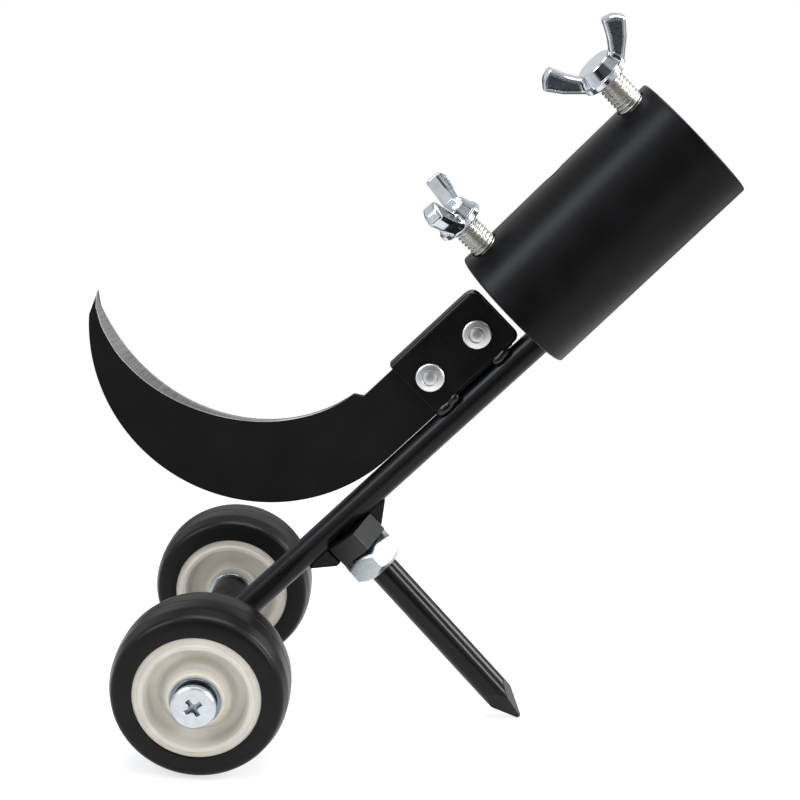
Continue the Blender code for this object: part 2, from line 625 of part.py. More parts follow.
def make_wing_bolt(name, place, reach, turn):
    """A cast wing head on a threaded stud that goes down through the tube's wall."""
    frame = wing_frame(name + " axis", place, reach, turn)
    profile = [(0, HEAD_HEIGHT), (HEAD_TOP_RADIUS, HEAD_HEIGHT),
               (HEAD_TOP_RADIUS + HEAD_EDGE, HEAD_HEIGHT - HEAD_EDGE), (HEAD_RADIUS, FLANGE_HEIGHT),
               (HEAD_RADIUS, 0), (THREAD_RADIUS + GAP, 0), (THREAD_RADIUS + GAP, HEAD_SOCKET_DEPTH),
               (0, HEAD_SOCKET_DEPTH)]
    head = turned(name + "_wing_head", profile, sides=24, parent=frame, finish="zinc plate")
    for side in (-1, 1):
        sideways = [(side * across, up) for across, up in wing_outline()]
        wing = plate(f"{name} wing {side}", sideways, WING_THICKNESS, parent=frame, turn=FACE_ON)
        bevel(wing, WING_EDGE, 1)
        boolean(head, wing, "UNION")
        for face in (-1, 1):
            sunk = [(side * across, up) for across, up in panel_outline()]
            boolean(head, plate(f"{name} panel {side} {face}", sunk, WING_PANEL_DEPTH * 2, parent=frame,
                                location=(0, face * WING_THICKNESS / 2, 0), turn=FACE_ON))
    boolean(head, cylinder(name + " stud socket", THREAD_RADIUS + GAP, -GAP, HEAD_SOCKET_DEPTH, sides=20,
                           parent=frame))
    smooth(head)
    top = HEAD_SOCKET_DEPTH - GAP
    plain, chamfer = 0.0004, 0.0006
    stud = [(0, top), (THREAD_ROOT, top), (THREAD_ROOT, plain)]
    stud += threaded(THREAD_RADIUS, THREAD_ROOT, THREAD_PITCH, 0, -STUD_LENGTH)
    stud += [(THREAD_ROOT - chamfer, -STUD_LENGTH - chamfer), (0, -STUD_LENGTH - chamfer)]
    return smooth(turned(name + "_wing_screw", stud, sides=14, parent=frame, finish="zinc plate"))


def make_wheel(side_name, side):
    """One wheel and its seven pieces, round an empty on its axis whose local Z points outwards."""
    frame = empty(side_name + " wheel axis", ROOT, (0, side * WHEEL_TRACK / 2, 0),
                  (-side * math.radians(90), 0, 0))
    shoulder = TYRE_SHOULDER
    outer = arc((TYRE_RADIUS - shoulder, TYRE_HALF_WIDTH - shoulder), shoulder, math.radians(90), 0, 3)
    half = [(TYRE_BORE, TYRE_HALF_WIDTH - TYRE_EDGE), (TYRE_BORE + TYRE_EDGE, TYRE_HALF_WIDTH)] + outer
    tread = half + [(radius, -height) for radius, height in reversed(half)]
    smooth(turned(side_name + "_tyre", tread, sides=44, loop=True, parent=frame, finish="rubber"))

    hub = OUTER_BOSS + HUB_FACE + [(radius, -height) for radius, height in reversed(INNER_BOSS + HUB_FACE)]
    smooth(turned(side_name + "_hub", hub, sides=32, loop=True, parent=frame, finish="cream plastic"))

    rings = (("_sleeve", SLEEVE_RADIUS, SLEEVE, "zinc plate"),
             ("_inner_washer", WASHER_RADIUS, INNER_WASHER, "zinc plate"),
             ("_outer_washer", WASHER_RADIUS, OUTER_WASHER, "zinc plate"),
             ("_lock_washer", LOCK_WASHER_RADIUS, LOCK_WASHER, "spring steel"))
    for name, radius, (low, high), finish in rings:
        ring = smooth(turned(side_name + name, ring_profile(SLEEVE_BORE, radius, low, high), sides=24,
                             loop=True, parent=frame, finish=finish))
    split = box(side_name + " washer split", (SLEEVE_RADIUS, SPLIT_WIDTH, SLEEVE_RADIUS), parent=frame,
                location=((SLEEVE_BORE + LOCK_WASHER_RADIUS) / 2, 0, sum(LOCK_WASHER) / 2),
                turn=(SPLIT_SLANT, 0, 0))
    boolean(ring, split)

    seat, top = SCREW_HEAD
    edge, rounding = 0.0003, 0.0012
    head = [(0, top), (SCREW_HEAD_RADIUS - rounding, top), (SCREW_HEAD_RADIUS - edge, top - 2 * edge),
            (SCREW_HEAD_RADIUS, top - rounding), (SCREW_HEAD_RADIUS, seat), (SCREW_RADIUS, seat),
            (SCREW_RADIUS, SCREW_TIP), (0, SCREW_TIP)]
    screw = turned(side_name + "_wheel_screw", head, sides=24, parent=frame, finish="zinc plate")
    for quarter in (0, 1):
        turn = CROSS_TURN + quarter * math.radians(90)
        boolean(screw, box(f"{side_name} cross slot {quarter}", CROSS_SIZE, parent=frame,
                           location=(0, 0, top), turn=(0, 0, turn)))
    smooth(screw)


def main():
    """Makes every piece."""
    make_socket_tube()
    make_main_rod()
    make_axle_bar()
    make_axle_weld()
    make_socket_weld()
    make_spike_coupling()
    make_gussets()
    make_jam_nut()
    make_spike()
    make_blade()
    make_bracket()
    make_rivet("lower_rivet", LOWER_RIVET)
    make_rivet("upper_rivet", UPPER_RIVET)
    for name, (place, length, side) in BRACKET_WELDS.items():
        make_bracket_weld(name, place, length, side)
    make_wing_bolt("upper", UPPER_BOLT, UPPER_REACH, UPPER_WING_TURN)
    make_wing_bolt("lower", LOWER_BOLT, LOWER_REACH, LOWER_WING_TURN)
    make_wheel("near", -1)
    make_wheel("far", 1)


main()
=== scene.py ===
"""The looks of a root weeder's head: surfaces worked out with numpy, and finishes made of shader nodes.

Every length is in millimetres in a piece's own frame, unless a name says otherwise. A placement then carries
the piece into the scene, which is in metres.
"""
# %% [markdown]
# The head comes as a frame of plain faceted solids: a socket tube, a rod, a sickle blade, two wheels and a
# spike. Their place and size are right, but each facet shows. We load them, and then stand a smooth,
# finished piece in the place of each one and hide the faceted one.

# %% Load the frame
import json
import math

import bmesh
import bpy
import numpy as np
from mathutils import Matrix


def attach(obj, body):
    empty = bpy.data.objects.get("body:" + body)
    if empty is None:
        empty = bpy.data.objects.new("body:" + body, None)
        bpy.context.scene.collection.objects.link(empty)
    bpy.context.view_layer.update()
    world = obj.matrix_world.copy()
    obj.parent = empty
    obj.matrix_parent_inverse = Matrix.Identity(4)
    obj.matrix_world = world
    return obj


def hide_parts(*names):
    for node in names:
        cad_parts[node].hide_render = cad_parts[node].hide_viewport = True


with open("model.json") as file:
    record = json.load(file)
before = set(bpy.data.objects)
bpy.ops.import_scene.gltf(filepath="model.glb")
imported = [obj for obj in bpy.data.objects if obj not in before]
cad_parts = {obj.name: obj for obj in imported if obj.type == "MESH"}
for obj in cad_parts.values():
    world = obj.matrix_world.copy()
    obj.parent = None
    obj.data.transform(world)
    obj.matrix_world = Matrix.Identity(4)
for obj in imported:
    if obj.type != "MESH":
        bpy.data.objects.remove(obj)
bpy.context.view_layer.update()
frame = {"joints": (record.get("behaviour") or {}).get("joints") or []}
JOINTS = {joint["name"]: joint for joint in frame["joints"]}
METRES = 0.001                           # in one millimetre

# %% [markdown]
# The rod leans at 46 degrees, the tube one degree more, and the spike is three degrees short of square to the
# rod. Each gets a small frame of its own, so that its shape can be worked out upright and then carried into
# place. A placement is a 4 by 4 matrix: three directions and an origin.

# %% Placements


def unit(vector):
    """The vector divided by its length."""
    vector = np.asarray(vector, float)
    return vector / np.linalg.norm(vector)


def stand(origin, x_way, z_way):
    """A placement: z along z_way, x as near to x_way as it can be, y = z cross x, at the origin."""
    z_axis = unit(z_way)
    x_axis = unit(np.asarray(x_way, float) - np.dot(x_way, z_axis) * z_axis)
    placed = np.eye(4)
    placed[:3, 0], placed[:3, 1], placed[:3, 2] = x_axis, np.cross(z_axis, x_axis), z_axis
    placed[:3, 3] = origin
    return placed


def spun(placed, degrees):
    """The placement turned about its own z axis."""
    angle = math.radians(degrees)
    turn = np.eye(4)
    turn[:2, :2] = [[math.cos(angle), -math.sin(angle)], [math.sin(angle), math.cos(angle)]]
    return placed @ turn


def leaning(degrees):
    """The directions along and out of a bar that rises at that angle above the floor."""
    angle = math.radians(degrees)
    return np.array([math.cos(angle), 0, math.sin(angle)]), np.array([-math.sin(angle), 0, math.cos(angle)])


def joint_point(name):
    """A joint's point, in millimetres."""
    return np.array(JOINTS[name]["pos_m"]) / METRES


ROD_LEAN, TUBE_LEAN, SPIKE_LEAN = 46, 47, 43
ROD_DROP, TUBE_OFFSET, SPIKE_PLACE = 0.4, 8.97, 50.55
rod_along, rod_out = leaning(ROD_LEAN)
tube_along, tube_out = leaning(TUBE_LEAN)
spike_along, spike_out = leaning(SPIKE_LEAN)
WHEELS = {side: stand(joint_point(f"{side}_wheel_spin"), (1, 0, 0), (0, way, 0))
          for side, way in (("near", -1), ("far", 1))}
axle = (WHEELS["near"][:3, 3] + WHEELS["far"][:3, 3]) / 2
tube_foot = axle + TUBE_OFFSET * tube_out
ROD = stand(axle - ROD_DROP * rod_out, -rod_out, rod_along)
ROD_SIDE = stand(axle, rod_along, rod_out)
TUBE = stand(tube_foot, -tube_out, tube_along)
SPIKE = stand(axle + SPIKE_PLACE * spike_along, spike_along, spike_out)
bolt_axis = np.array(JOINTS["upper_head_turn"]["axis"])
BOLTS = {name: spun(stand(joint_point(f"{name}_head_turn"), tube_along, bolt_axis), turn)
         for name, turn in (("upper", -8), ("lower", 77))}
print("axle at", axle, "bolts lean along", np.round(bolt_axis, 3))

# %% [markdown]
# Most pieces are turned or swept: a tube, a rod, wheels, washers, a threaded stud. Such a surface is a grid
# of points, worked out from two parameters as whole arrays, whose faces join each point to its neighbours.
# One number makes it finer.

# %% A grid of points becomes a piece


def grid_faces(rows, columns, loop=False):
    """The quads of a grid whose columns close into a ring, and whose rows do too if loop is true."""
    index = np.arange(rows * columns).reshape(rows, columns)
    index = np.hstack([index, index[:, :1]])
    if loop:
        index = np.vstack([index, index[:1]])
    return np.stack([index[:-1, :-1], index[:-1, 1:], index[1:, 1:], index[1:, :-1]], -1).reshape(-1, 4)


def added(name, data, placed=np.eye(4)):
    """A new object of the scene, with its placement in metres."""
    made = bpy.data.objects.new(name, data)
    made.matrix_world = Matrix(placed.tolist())
    bpy.context.scene.collection.objects.link(made)
    return made


def mesh_of(name, points, faces, placed):
    """A mesh object from local points in millimetres, merged, closed and with its faces outwards."""
    world = (points @ placed[:3, :3].T + placed[:3, 3]) * METRES
    mesh = bpy.data.meshes.new(name)
    mesh.from_pydata(world.tolist(), [], faces.tolist())
    bm = bmesh.new()
    bm.from_mesh(mesh)
    bmesh.ops.remove_doubles(bm, verts=bm.verts, dist=1e-7)
    bmesh.ops.dissolve_degenerate(bm, edges=bm.edges, dist=1e-8)
    bmesh.ops.recalc_face_normals(bm, faces=bm.faces)
    bm.to_mesh(mesh)
    bm.free()
    return added(name, mesh)


def local_points(piece, placed):
    """The piece's vertices in the local frame, in millimetres."""
    points = np.empty(len(piece.data.vertices) * 3)
    piece.data.vertices.foreach_get("co", points)
    return (points.reshape(-1, 3) / METRES - placed[:3, 3]) @ placed[:3, :3]


def write(piece, name, values):
    """Writes an attribute of the piece's mesh: one number for each vertex."""
    data = piece.data.attributes.new(name, "FLOAT", "POINT").data
    data.foreach_set("value", np.asarray(values, np.float32))


def smooth(piece, degrees=40):
    """Shades the piece smooth, up to its sharp edges."""
    piece.data.shade_smooth()
    piece.data.set_sharp_from_angle(angle=math.radians(degrees))
    return piece


def finished(piece, finish, body, node):
    """Gives the piece its finish and its body, and hides the node that it stands for."""
    piece.data.materials.clear()
    piece.data.materials.append(finish)
    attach(piece, body)
    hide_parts(node)
    print(f"{piece.name}: {len(piece.data.polygons)} faces")


# %% [markdown]
# A turned piece starts as half a section: radius and height, one pair for each corner. Real edges are never
# sharp, and their small roundings catch the light, so a curve first replaces each corner.

# %% Turned pieces


def rounded(corners, radii, steps=5, closed=False):
    """The outline with each corner replaced by a curve that touches both of its sides.

    It starts radius / tan(half angle) from the corner: (1 - s)^2 start + 2 s (1 - s) corner + s^2 end.
    """
    corners = np.asarray(corners, float)
    line = []
    for place, (corner, radius) in enumerate(zip(corners, np.broadcast_to(radii, len(corners)))):
        before, after = corners[place - 1] - corner, corners[(place + 1) % len(corners)] - corner
        if radius <= 0 or not (closed or 0 < place < len(corners) - 1):
            line.append(corner[None])
            continue
        a, b = unit(before), unit(after)
        half = math.acos(np.clip(np.dot(a, b), -1, 1)) / 2
        reach = min(radius / math.tan(half), 0.49 * np.linalg.norm(before), 0.49 * np.linalg.norm(after))
        share = np.linspace(0, 1, steps + 1)[:, None]
        start, end = corner + a * reach, corner + b * reach
        line.append((1 - share) ** 2 * start + 2 * share * (1 - share) * corner + share ** 2 * end)
    return np.concatenate(line)


def mirrored(section, height=0.0):
    """The section upside down about a height, and in reverse order."""
    return section[::-1] * (1, -1) + (0, 2 * height)


def all_round(sides):
    """The angles of a full turn."""
    return np.linspace(0, 2 * math.pi, sides, endpoint=False)


def round_piece(name, radius, height, placed, degrees=40, loop=False):
    """A piece round z from radii and heights by row and angle a: x = r cos a, y = r sin a, z = height."""
    angle = all_round(radius.shape[1])
    points = np.stack([radius * np.cos(angle), radius * np.sin(angle), height], -1)
    return smooth(mesh_of(name, points.reshape(-1, 3), grid_faces(*radius.shape, loop), placed), degrees)


def turned(name, section, placed, sides=128, loop=False):
    """Turns a section of (radius, height) pairs about z."""
    radius, height = np.repeat(np.asarray(section, float)[..., None], sides, 2).swapaxes(0, 1)
    return round_piece(name, radius, height, placed, loop=loop)


def capped(radius, height):
    """Radii and heights by row and angle, closed by a point on the axis at each end."""
    centre = 0 * radius[:1]
    height = np.concatenate([height[:1], height, height[-1:]]) + centre
    return np.concatenate([centre, radius, centre]), height


def rectangle(left, right, low, high, radii, steps):
    """A rectangle's closed outline, its corners rounded with one radius or with four."""
    return rounded([(left, low), (right, low), (right, high), (left, high)], radii, steps, closed=True)


# %% [markdown]
# Some pieces are cast, folded or filed: the wing heads, the bracket, the nut and the weld beads. For these a
# function gives the distance to the surface, below zero inside. Distances are easy to combine: the smaller of
# two is a union, the larger of one and minus the other is a cut, and a soft version of each leaves the fillet
# of a casting. Surface nets then turn the function into a mesh.

# %% Distances and how they combine


def soft_min(a, b, width):
    """The smaller of a and b, less width / 4 where they are equal: a union with a fillet."""
    share = np.maximum(width - np.abs(a - b), 0) / width
    return np.minimum(a, b) - share * share * width / 4


def soft_max(a, b, width):
    """The larger of a and b, with a rounded edge where they meet."""
    return -soft_min(-a, -b, width)


def outline_distance(x, y, corners):
    """Distance in a plane to a closed outline: the least distance to its sides, negative inside it."""
    least = np.full(np.shape(x), np.inf)
    inside = np.zeros(np.shape(x), bool)
    corners = [tuple(corner) for corner in corners]
    for (ax, ay), (bx, by) in zip(corners, corners[1:] + corners[:1]):
        wide, tall = bx - ax, by - ay
        share = np.clip(((x - ax) * wide + (y - ay) * tall) / (wide * wide + tall * tall), 0, 1)
        least = np.minimum(least, (x - ax - share * wide) ** 2 + (y - ay - share * tall) ** 2)
        if tall:
            inside ^= ((ay > y) != (by > y)) & (x < ax + (y - ay) * wide / tall)
    return np.sqrt(least) * np.where(inside, -1, 1)


def slab(flat, depth, half, edge, chamfer=0.0):
    """An outline's distance made a plate: the larger of it and |depth| - half, with rounded or cut edges."""
    side = np.abs(depth) - half
    if chamfer:
        flat = soft_max(flat, (flat + side + chamfer) / math.sqrt(2), edge)
    return soft_max(flat, side, edge)


# %% Surface nets


def crossed_cells(value, inside):
    """Each cell with corners on both sides of the surface, and the mean of its edges' crossings."""
    shape = np.array(value.shape) - 1
    corners = [np.array((i, j, k)) for i in (0, 1) for j in (0, 1) for k in (0, 1)]
    count = sum(inside[i:i + shape[0], j:j + shape[1], k:k + shape[2]].astype(np.int8) for i, j, k in corners)
    cells = np.argwhere((count > 0) & (count < 8))
    total, hits = np.zeros((len(cells), 3)), np.zeros((len(cells), 1))
    for first in corners:
        for way in np.eye(3, dtype=int)[first == 0]:
            a, b = value[tuple((cells + first).T)], value[tuple((cells + first + way).T)]
            crossed = (a < 0) != (b < 0)
            share = np.where(crossed, a / np.where(crossed, a - b, 1), 0)
            total += crossed[:, None] * (first + share[:, None] * way)
            hits += crossed[:, None]
    return cells, total / hits


def net_faces(cells, inside):
    """One quad for each grid edge that the surface crosses, through the four cells round that edge."""
    index = np.full(np.array(inside.shape), -1)
    index[tuple(cells.T)] = np.arange(len(cells))
    ways = np.eye(3, dtype=int)
    faces = []
    for axis in range(3):
        edges = np.argwhere(inside != np.roll(inside, -1, axis))
        u, v = ways[(axis + 1) % 3], ways[(axis + 2) % 3]
        quads = np.stack([index[tuple((edges - away).T)] for away in (0 * u, u, u + v, v)], -1)
        entering = ~inside[tuple(edges.T)]
        quads[entering] = quads[entering, ::-1]
        faces.append(quads)
    return np.concatenate(faces)


def gradient(distance, points, step):
    """The direction in which the distance grows, by central differences."""
    return np.stack([distance(*(points + way).T) - distance(*(points - way).T)
                     for way in np.eye(3) * step], -1) / (2 * step)


def sculpted(name, distance, low, high, cell, placed):
    """A mesh of the surface where distance(x, y, z) is 0.

    Only nodes near the surface are worked out in full. Three Newton steps, p - d(p) grad d / |grad d|^2, pull
    each vertex onto the surface. The gradient there is also the vertex's normal, so edges shade evenly.
    """
    low = np.asarray(low, float)
    axes = [np.arange(a, b + cell, cell) for a, b in zip(low, high)]
    coarse = 4
    value = distance(*np.meshgrid(*[axis[::coarse] for axis in axes], indexing="ij"))
    for axis in range(3):
        value = np.repeat(value, coarse, axis)
    value = value[tuple(slice(len(axis)) for axis in axes)]
    near = np.argwhere(np.abs(value) < 1.8 * coarse * cell)
    value[tuple(near.T)] = distance(*(low + near * cell).T)
    inside = value < 0
    cells, inner = crossed_cells(value, inside)
    points = low + (cells + inner) * cell
    for _ in range(3):
        slope = gradient(distance, points, cell / 20)
        move = (distance(*points.T) / np.maximum((slope ** 2).sum(-1), 0.3))[:, None] * slope
        points -= np.clip(move, -cell / 2, cell / 2)
    made = mesh_of(name, points, net_faces(cells, inside), placed)
    made.data.shade_smooth()
    slope = gradient(distance, local_points(made, placed), cell / 3)
    slope = slope / np.maximum(np.linalg.norm(slope, axis=-1, keepdims=True), 1e-9)
    made.data.normals_split_custom_set_from_vertices(slope @ placed[:3, :3].T)
    return made


# %% [markdown]
# A finish is a small network of nodes. Sums and products keep it readable: Signal wraps the output of a node,
# and arithmetic on it adds the Math nodes. Every pattern reads Object coordinates, so it stays on the surface
# from whichever side it is seen.

# %% Shader maths as expressions


def operator(operation, swapped=False):
    """A method that adds a Math node of that kind, with its two values swapped or not."""
    def result(self, other):
        return self.finish.maths(operation, *((other, self) if swapped else (self, other)))
    return result


class Signal:
    """The output of a shader node. Sums, products and powers of it are Math nodes."""

    def __init__(self, finish, socket):
        self.finish, self.socket = finish, socket

    __add__ = __radd__ = operator("ADD")
    __mul__ = __rmul__ = operator("MULTIPLY")
    __sub__, __rsub__ = operator("SUBTRACT"), operator("SUBTRACT", swapped=True)
    __truediv__, __pow__ = operator("DIVIDE"), operator("POWER")


class Finish:
    """A material, or the world, with one method that adds any node."""

    def __init__(self, name, world=False):
        self.made = (bpy.data.worlds if world else bpy.data.materials).new(name)
        self.made.use_nodes = True
        self.tree = self.made.node_tree
        self.shader = self.tree.nodes["Background" if world else "Principled BSDF"]

    def feed(self, socket, value):
        """Links a Signal to the socket, or sets the socket's own value. A colour is three numbers."""
        if isinstance(value, Signal):
            self.tree.links.new(value.socket, socket)
        else:
            socket.default_value = (*value, 1) if socket.type == "RGBA" else value

    def node(self, kind, settings=None, inputs=None, output=0):
        """A new node: its settings are set first, then the values or links of its sockets."""
        made = self.tree.nodes.new(f"ShaderNode{kind}")
        for name, value in (settings or {}).items():
            setattr(made, name, value)
        for key, value in (inputs or {}).items():
            self.feed(made.inputs[key], value)
        return Signal(self, made.outputs[output])

    def maths(self, operation, first, second):
        """A Math node of two values."""
        return self.node("Math", {"operation": operation}, {0: first, 1: second})

    def dot(self, vector, direction):
        """How far a vector reaches along a direction."""
        return self.node("VectorMath", {"operation": "DOT_PRODUCT"}, {0: vector, 1: direction}, output=1)

    def surface(self, inputs):
        """Feeds the material's or the world's own shader, which completes it."""
        for key, value in inputs.items():
            self.feed(self.shader.inputs[key], value)
        return self.made

    def place(self):
        """Object coordinates, in metres."""
        return self.node("TexCoord", output=3)

    def noise(self, size_mm, detail=2.0, at=None, roughness=0.5):
        """Noise from 0 to 1 whose blotches are about size_mm across."""
        return self.node("TexNoise", {}, {"Vector": at or self.place(), "Scale": 1 / (size_mm * METRES),
                                          "Detail": detail, "Roughness": roughness})

    def ramp(self, value, low, high, to_low=0.0, to_high=1.0):
        """The value carried smoothly from one range to another, and held at its ends."""
        return self.node("MapRange", {"interpolation_type": "SMOOTHSTEP"},
                         {"Value": value, "From Min": low, "From Max": high,
                          "To Min": to_low, "To Max": to_high})

    def blend(self, share, first, second):
        """A colour between two colours."""
        return self.node("Mix", {"data_type": "RGBA"}, {0: share, 6: first, 7: second}, output=2)

    def mottle(self, pattern, dark, light):
        """A colour that follows a pattern of noise from dark to light."""
        return self.blend(self.ramp(pattern, 0.3, 0.7), dark, light)

    def written(self, name):
        """The mesh's attribute of that name."""
        return self.node("Attribute", {"attribute_name": name}, output=2)

    def bump(self, height, depth_mm):
        """A Bump node whose heights from 0 to 1 stand for depth_mm."""
        return self.node("Bump", {}, {"Height": height, "Distance": depth_mm * METRES, "Strength": 1.0})

    def along(self, direction, origin=(0, 0, 0)):
        """How far each point lies from the origin along a direction, in millimetres."""
        moved = self.node("VectorMath", {"operation": "SUBTRACT"},
                          {0: self.place(), 1: np.multiply(origin, METRES)})
        return self.dot(moved, np.divide(direction, METRES))


# %% [markdown]
# Powder coat is black paint that was baked on: it has a fine orange-peel grain, a sheen between matt and
# glossy, and slow changes in how rough it is. The grain is a bump of a hundredth or two of a millimetre.

# %% Powder coat


def powder_coat(name, colour, roughness, specular, grain=0.010):
    """Black paint: mottled colour and roughness, with the baked grain as a bump."""
    finish = Finish(name)
    slow = finish.noise(9.0, 3.0)
    fine = finish.noise(0.35)
    dark, light = np.multiply.outer((0.8, 1.25), colour)
    return finish.surface({
        "Base Color": finish.mottle(slow, dark, light),
        "Roughness": roughness + (slow - 0.5) * 0.05 + (fine - 0.5) * 0.05,
        "Specular IOR Level": specular,
        "Normal": finish.bump(fine, grain),
    })


tube_coat = powder_coat("tube coat", (0.0036, 0.0036, 0.0041), 0.33, 0.13, grain=0.022)
frame_coat = powder_coat("frame coat", (0.0038, 0.0038, 0.0041), 0.28, 0.18)
hex_coat = powder_coat("coupling coat", (0.0040, 0.0040, 0.0043), 0.26, 0.50)
weld_coat = powder_coat("weld coat", (0.0036, 0.0036, 0.0041), 0.18, 0.40, grain=0.004)
spike_coat = powder_coat("spike coat", (0.0034, 0.0032, 0.0033), 0.17, 0.20, grain=0.004)

# %% [markdown]
# The blade is coated a duller black. A wheel has then ground its inner edge on the near face, which leaves a
# bare grey bevel scratched across its width. A bright line where bevel and coat meet is a painted highlight
# on that crease. The blade's mesh carries an attribute for it: how far a point lies past the line, in
# millimetres, less than 0 on the coat.

# %% Blade coat and ground bevel
BLADE_HALF = 1.2
EDGE_CENTRE = np.array([22.02, 137.24])                # X and Z, from the point under the axle


def blade_finish():
    """Matt black coat, and bare steel past the grinding line. The scratches follow the edge's radii."""
    finish = Finish("blade coat")
    centre = (axle[0] + EDGE_CENTRE[0], 0, EDGE_CENTRE[1])
    x, z = finish.along((1, 0, 0), centre), finish.along((0, 0, 1), centre)
    ground = finish.written("ground")
    bare = finish.ramp(ground, 0.04, 0.12)
    # line: a painted highlight, a thin band of light steel colour along the crease where bevel and coat meet
    line = finish.ramp(ground, 0.16, 0.34, 1.0, 0.0) * bare
    around = finish.node("CombineXYZ", {}, {0: finish.maths("ARCTAN2", z, x) * 1.3, 1: ground * 0.0004})
    scratch = finish.noise(0.006 / METRES, 3.0, at=around, roughness=0.7)
    slow = finish.noise(14.0, 3.0)
    steel = finish.mottle(scratch, (0.17, 0.165, 0.165), (0.46, 0.45, 0.45))
    # The painted highlight lightens the steel along that crease.
    steel = finish.blend(line, steel, (0.66, 0.66, 0.66))
    coat = finish.mottle(slow, (0.0046, 0.0046, 0.0046), (0.0062, 0.0062, 0.0062))
    grain = finish.noise(0.25)
    return finish.surface({
        "Base Color": finish.blend(bare, coat, steel),
        "Metallic": bare,
        "Roughness": 0.52 + (slow - 0.5) * 0.08 - bare * 0.12,
        "Specular IOR Level": 0.08,
        "Normal": finish.bump(grain * (1 - bare) + scratch * bare, 0.006),
    })


blade_coat = blade_finish()

# %% [markdown]
# The wing heads, the nut, the washers and the wheel screws are zinc plated: bright, a little blue, with a
# faint cloudiness from the bath. The sunk panels of the wings are darker and rougher. The cross of a screw
# and the groove of a rivet are darker too, as painted shade. Their mesh carries an attribute that says where
# it is sunk.

# %% Zinc plate


def zinc_plate(name, colour=(0.62, 0.66, 0.70), roughness=0.16, sunk=None):
    """Plated metal: a cloudy colour and roughness, fine marks, and two colours for what is sunk."""
    finish = Finish(name)
    cloud = finish.noise(2.2, 3.0)
    mark = finish.noise(0.22)
    bright = finish.blend(finish.ramp(cloud, 0.25, 0.75), 0.86 * np.array(colour), colour)
    rough = roughness + (cloud - 0.5) * 0.08 + (mark - 0.5) * 0.10
    if sunk:
        low = finish.written("sunk")
        speck = finish.ramp(finish.noise(0.5, 4.0, roughness=0.7), 0.3, 0.75)
        bright = finish.blend(low, bright, finish.blend(speck, *sunk))
        rough = rough + low * 0.16
    return finish.surface({"Base Color": bright, "Metallic": 1.0, "Roughness": rough,
                           "Normal": finish.bump(mark, 0.002)})


# Darker colours for sunk places: painted shade in a rivet's groove, and darker, rougher panels on the wings.
SUNK_DARK = (0.10, 0.125, 0.15), (0.28, 0.33, 0.37)
# Painted shade in the cross recess of a wheel screw.
CROSS_SHADE = (0.01, 0.045, 0.07), (0.05, 0.16, 0.22)
head_zinc = zinc_plate("wing head zinc", roughness=0.13, sunk=SUNK_DARK)
nut_zinc = zinc_plate("nut zinc", (0.47, 0.51, 0.53), 0.26)
screw_zinc = zinc_plate("wheel screw zinc", (0.58, 0.62, 0.65), 0.30, sunk=CROSS_SHADE)
washer_zinc = zinc_plate("washer zinc", (0.19, 0.23, 0.27), 0.20)
stud_zinc = zinc_plate("stud zinc", (0.62, 0.61, 0.58), 0.28)
rivet_steel = zinc_plate("rivet steel", (0.88, 0.88, 0.87), 0.36, sunk=SUNK_DARK)
spring_steel = zinc_plate("spring steel", (0.10, 0.14, 0.17), 0.28)

# %% [markdown]
# The tyres are smooth black rubber, with a broader sheen than paint and faint rub marks round the tread. The
# hubs are moulded cream plastic, slightly translucent to the eye, which a soft sheen and a hardly visible
# mottle imitate well.

# %% Rubber and cream plastic


def rubber(name, centre):
    """Smooth black rubber with faint marks that run round the tyre."""
    finish = Finish(name)
    x, y, z = [finish.along(way, centre) for way in np.eye(3)]
    around = finish.node("CombineXYZ", {}, {0: (x * x + z * z) ** 0.5, 1: y})
    rub = finish.noise(0.9 / METRES, 4.0, at=around, roughness=0.6)
    fine = finish.noise(0.30, 3.0)
    slow = finish.noise(6.0, 3.0)
    return finish.surface({
        "Base Color": finish.mottle(rub * 0.6 + slow * 0.4, (0.0035, 0.0035, 0.0037),
                                    (0.0062, 0.0062, 0.0066)),
        "Roughness": 0.33 + (rub - 0.5) * 0.10 + (fine - 0.5) * 0.06,
        "Specular IOR Level": 0.15,
        "Normal": finish.bump(fine, 0.006),
    })


def cream_plastic():
    """Moulded warm off-white plastic with a broad sheen."""
    finish = Finish("cream plastic")
    slow = finish.noise(7.0, 4.0)
    return finish.surface({
        "Base Color": finish.mottle(slow, (0.486, 0.455, 0.397), (0.531, 0.500, 0.443)),
        "Roughness": 0.40 + (slow - 0.5) * 0.10,
        "Normal": finish.bump(finish.noise(0.25), 0.004),
    })


cream = cream_plastic()

# %% [markdown]
# The socket is a round tube with a wall of 2.5 mm. Its rims are filed and then coated, so they are rounded.
# Three holes go through its upper wall: two for the wing bolts and one for a screw that fixes the handle.
# The wall is a turned ring, and a Boolean cuts the holes before the small Bevel rounds their edges.

# %% Socket tube
TUBE_RADIUS, TUBE_BORE = 19.96, 17.5
TUBE_START, TUBE_END = 131.0, 200.2
HOLES = ((138.4, 4.3, 10), (193.6, 4.3, 10), (165.9, 3.4, -6))        # place, radius, lean in degrees


def tube_section():
    """The wall's section, with rings of points every 1.5 mm so that the holes cut small faces."""
    low, high = TUBE_START, TUBE_END
    heights = np.arange(low + 2.0, high - 1.9, 1.5)
    outer = rounded([(TUBE_BORE + 1, low), (TUBE_RADIUS, low), (TUBE_RADIUS, low + 2)], 0.7, 6)
    inner = rounded([(TUBE_BORE, low + 2), (TUBE_BORE, low), (TUBE_BORE + 1, low)], 0.35, 4)
    side = np.stack([np.full(len(heights), TUBE_RADIUS), heights], -1)
    back = np.stack([np.full(len(heights), TUBE_BORE), heights[::-1]], -1)
    middle = (low + high) / 2
    return np.concatenate([outer, side, mirrored(outer, middle), mirrored(inner, middle), back, inner])


def apply_modifiers(piece):
    """Turns the piece's modifiers into its mesh."""
    evaluated = piece.evaluated_get(bpy.context.evaluated_depsgraph_get())
    mesh = bpy.data.meshes.new_from_object(evaluated)
    piece.modifiers.clear()
    piece.data = mesh
    return piece


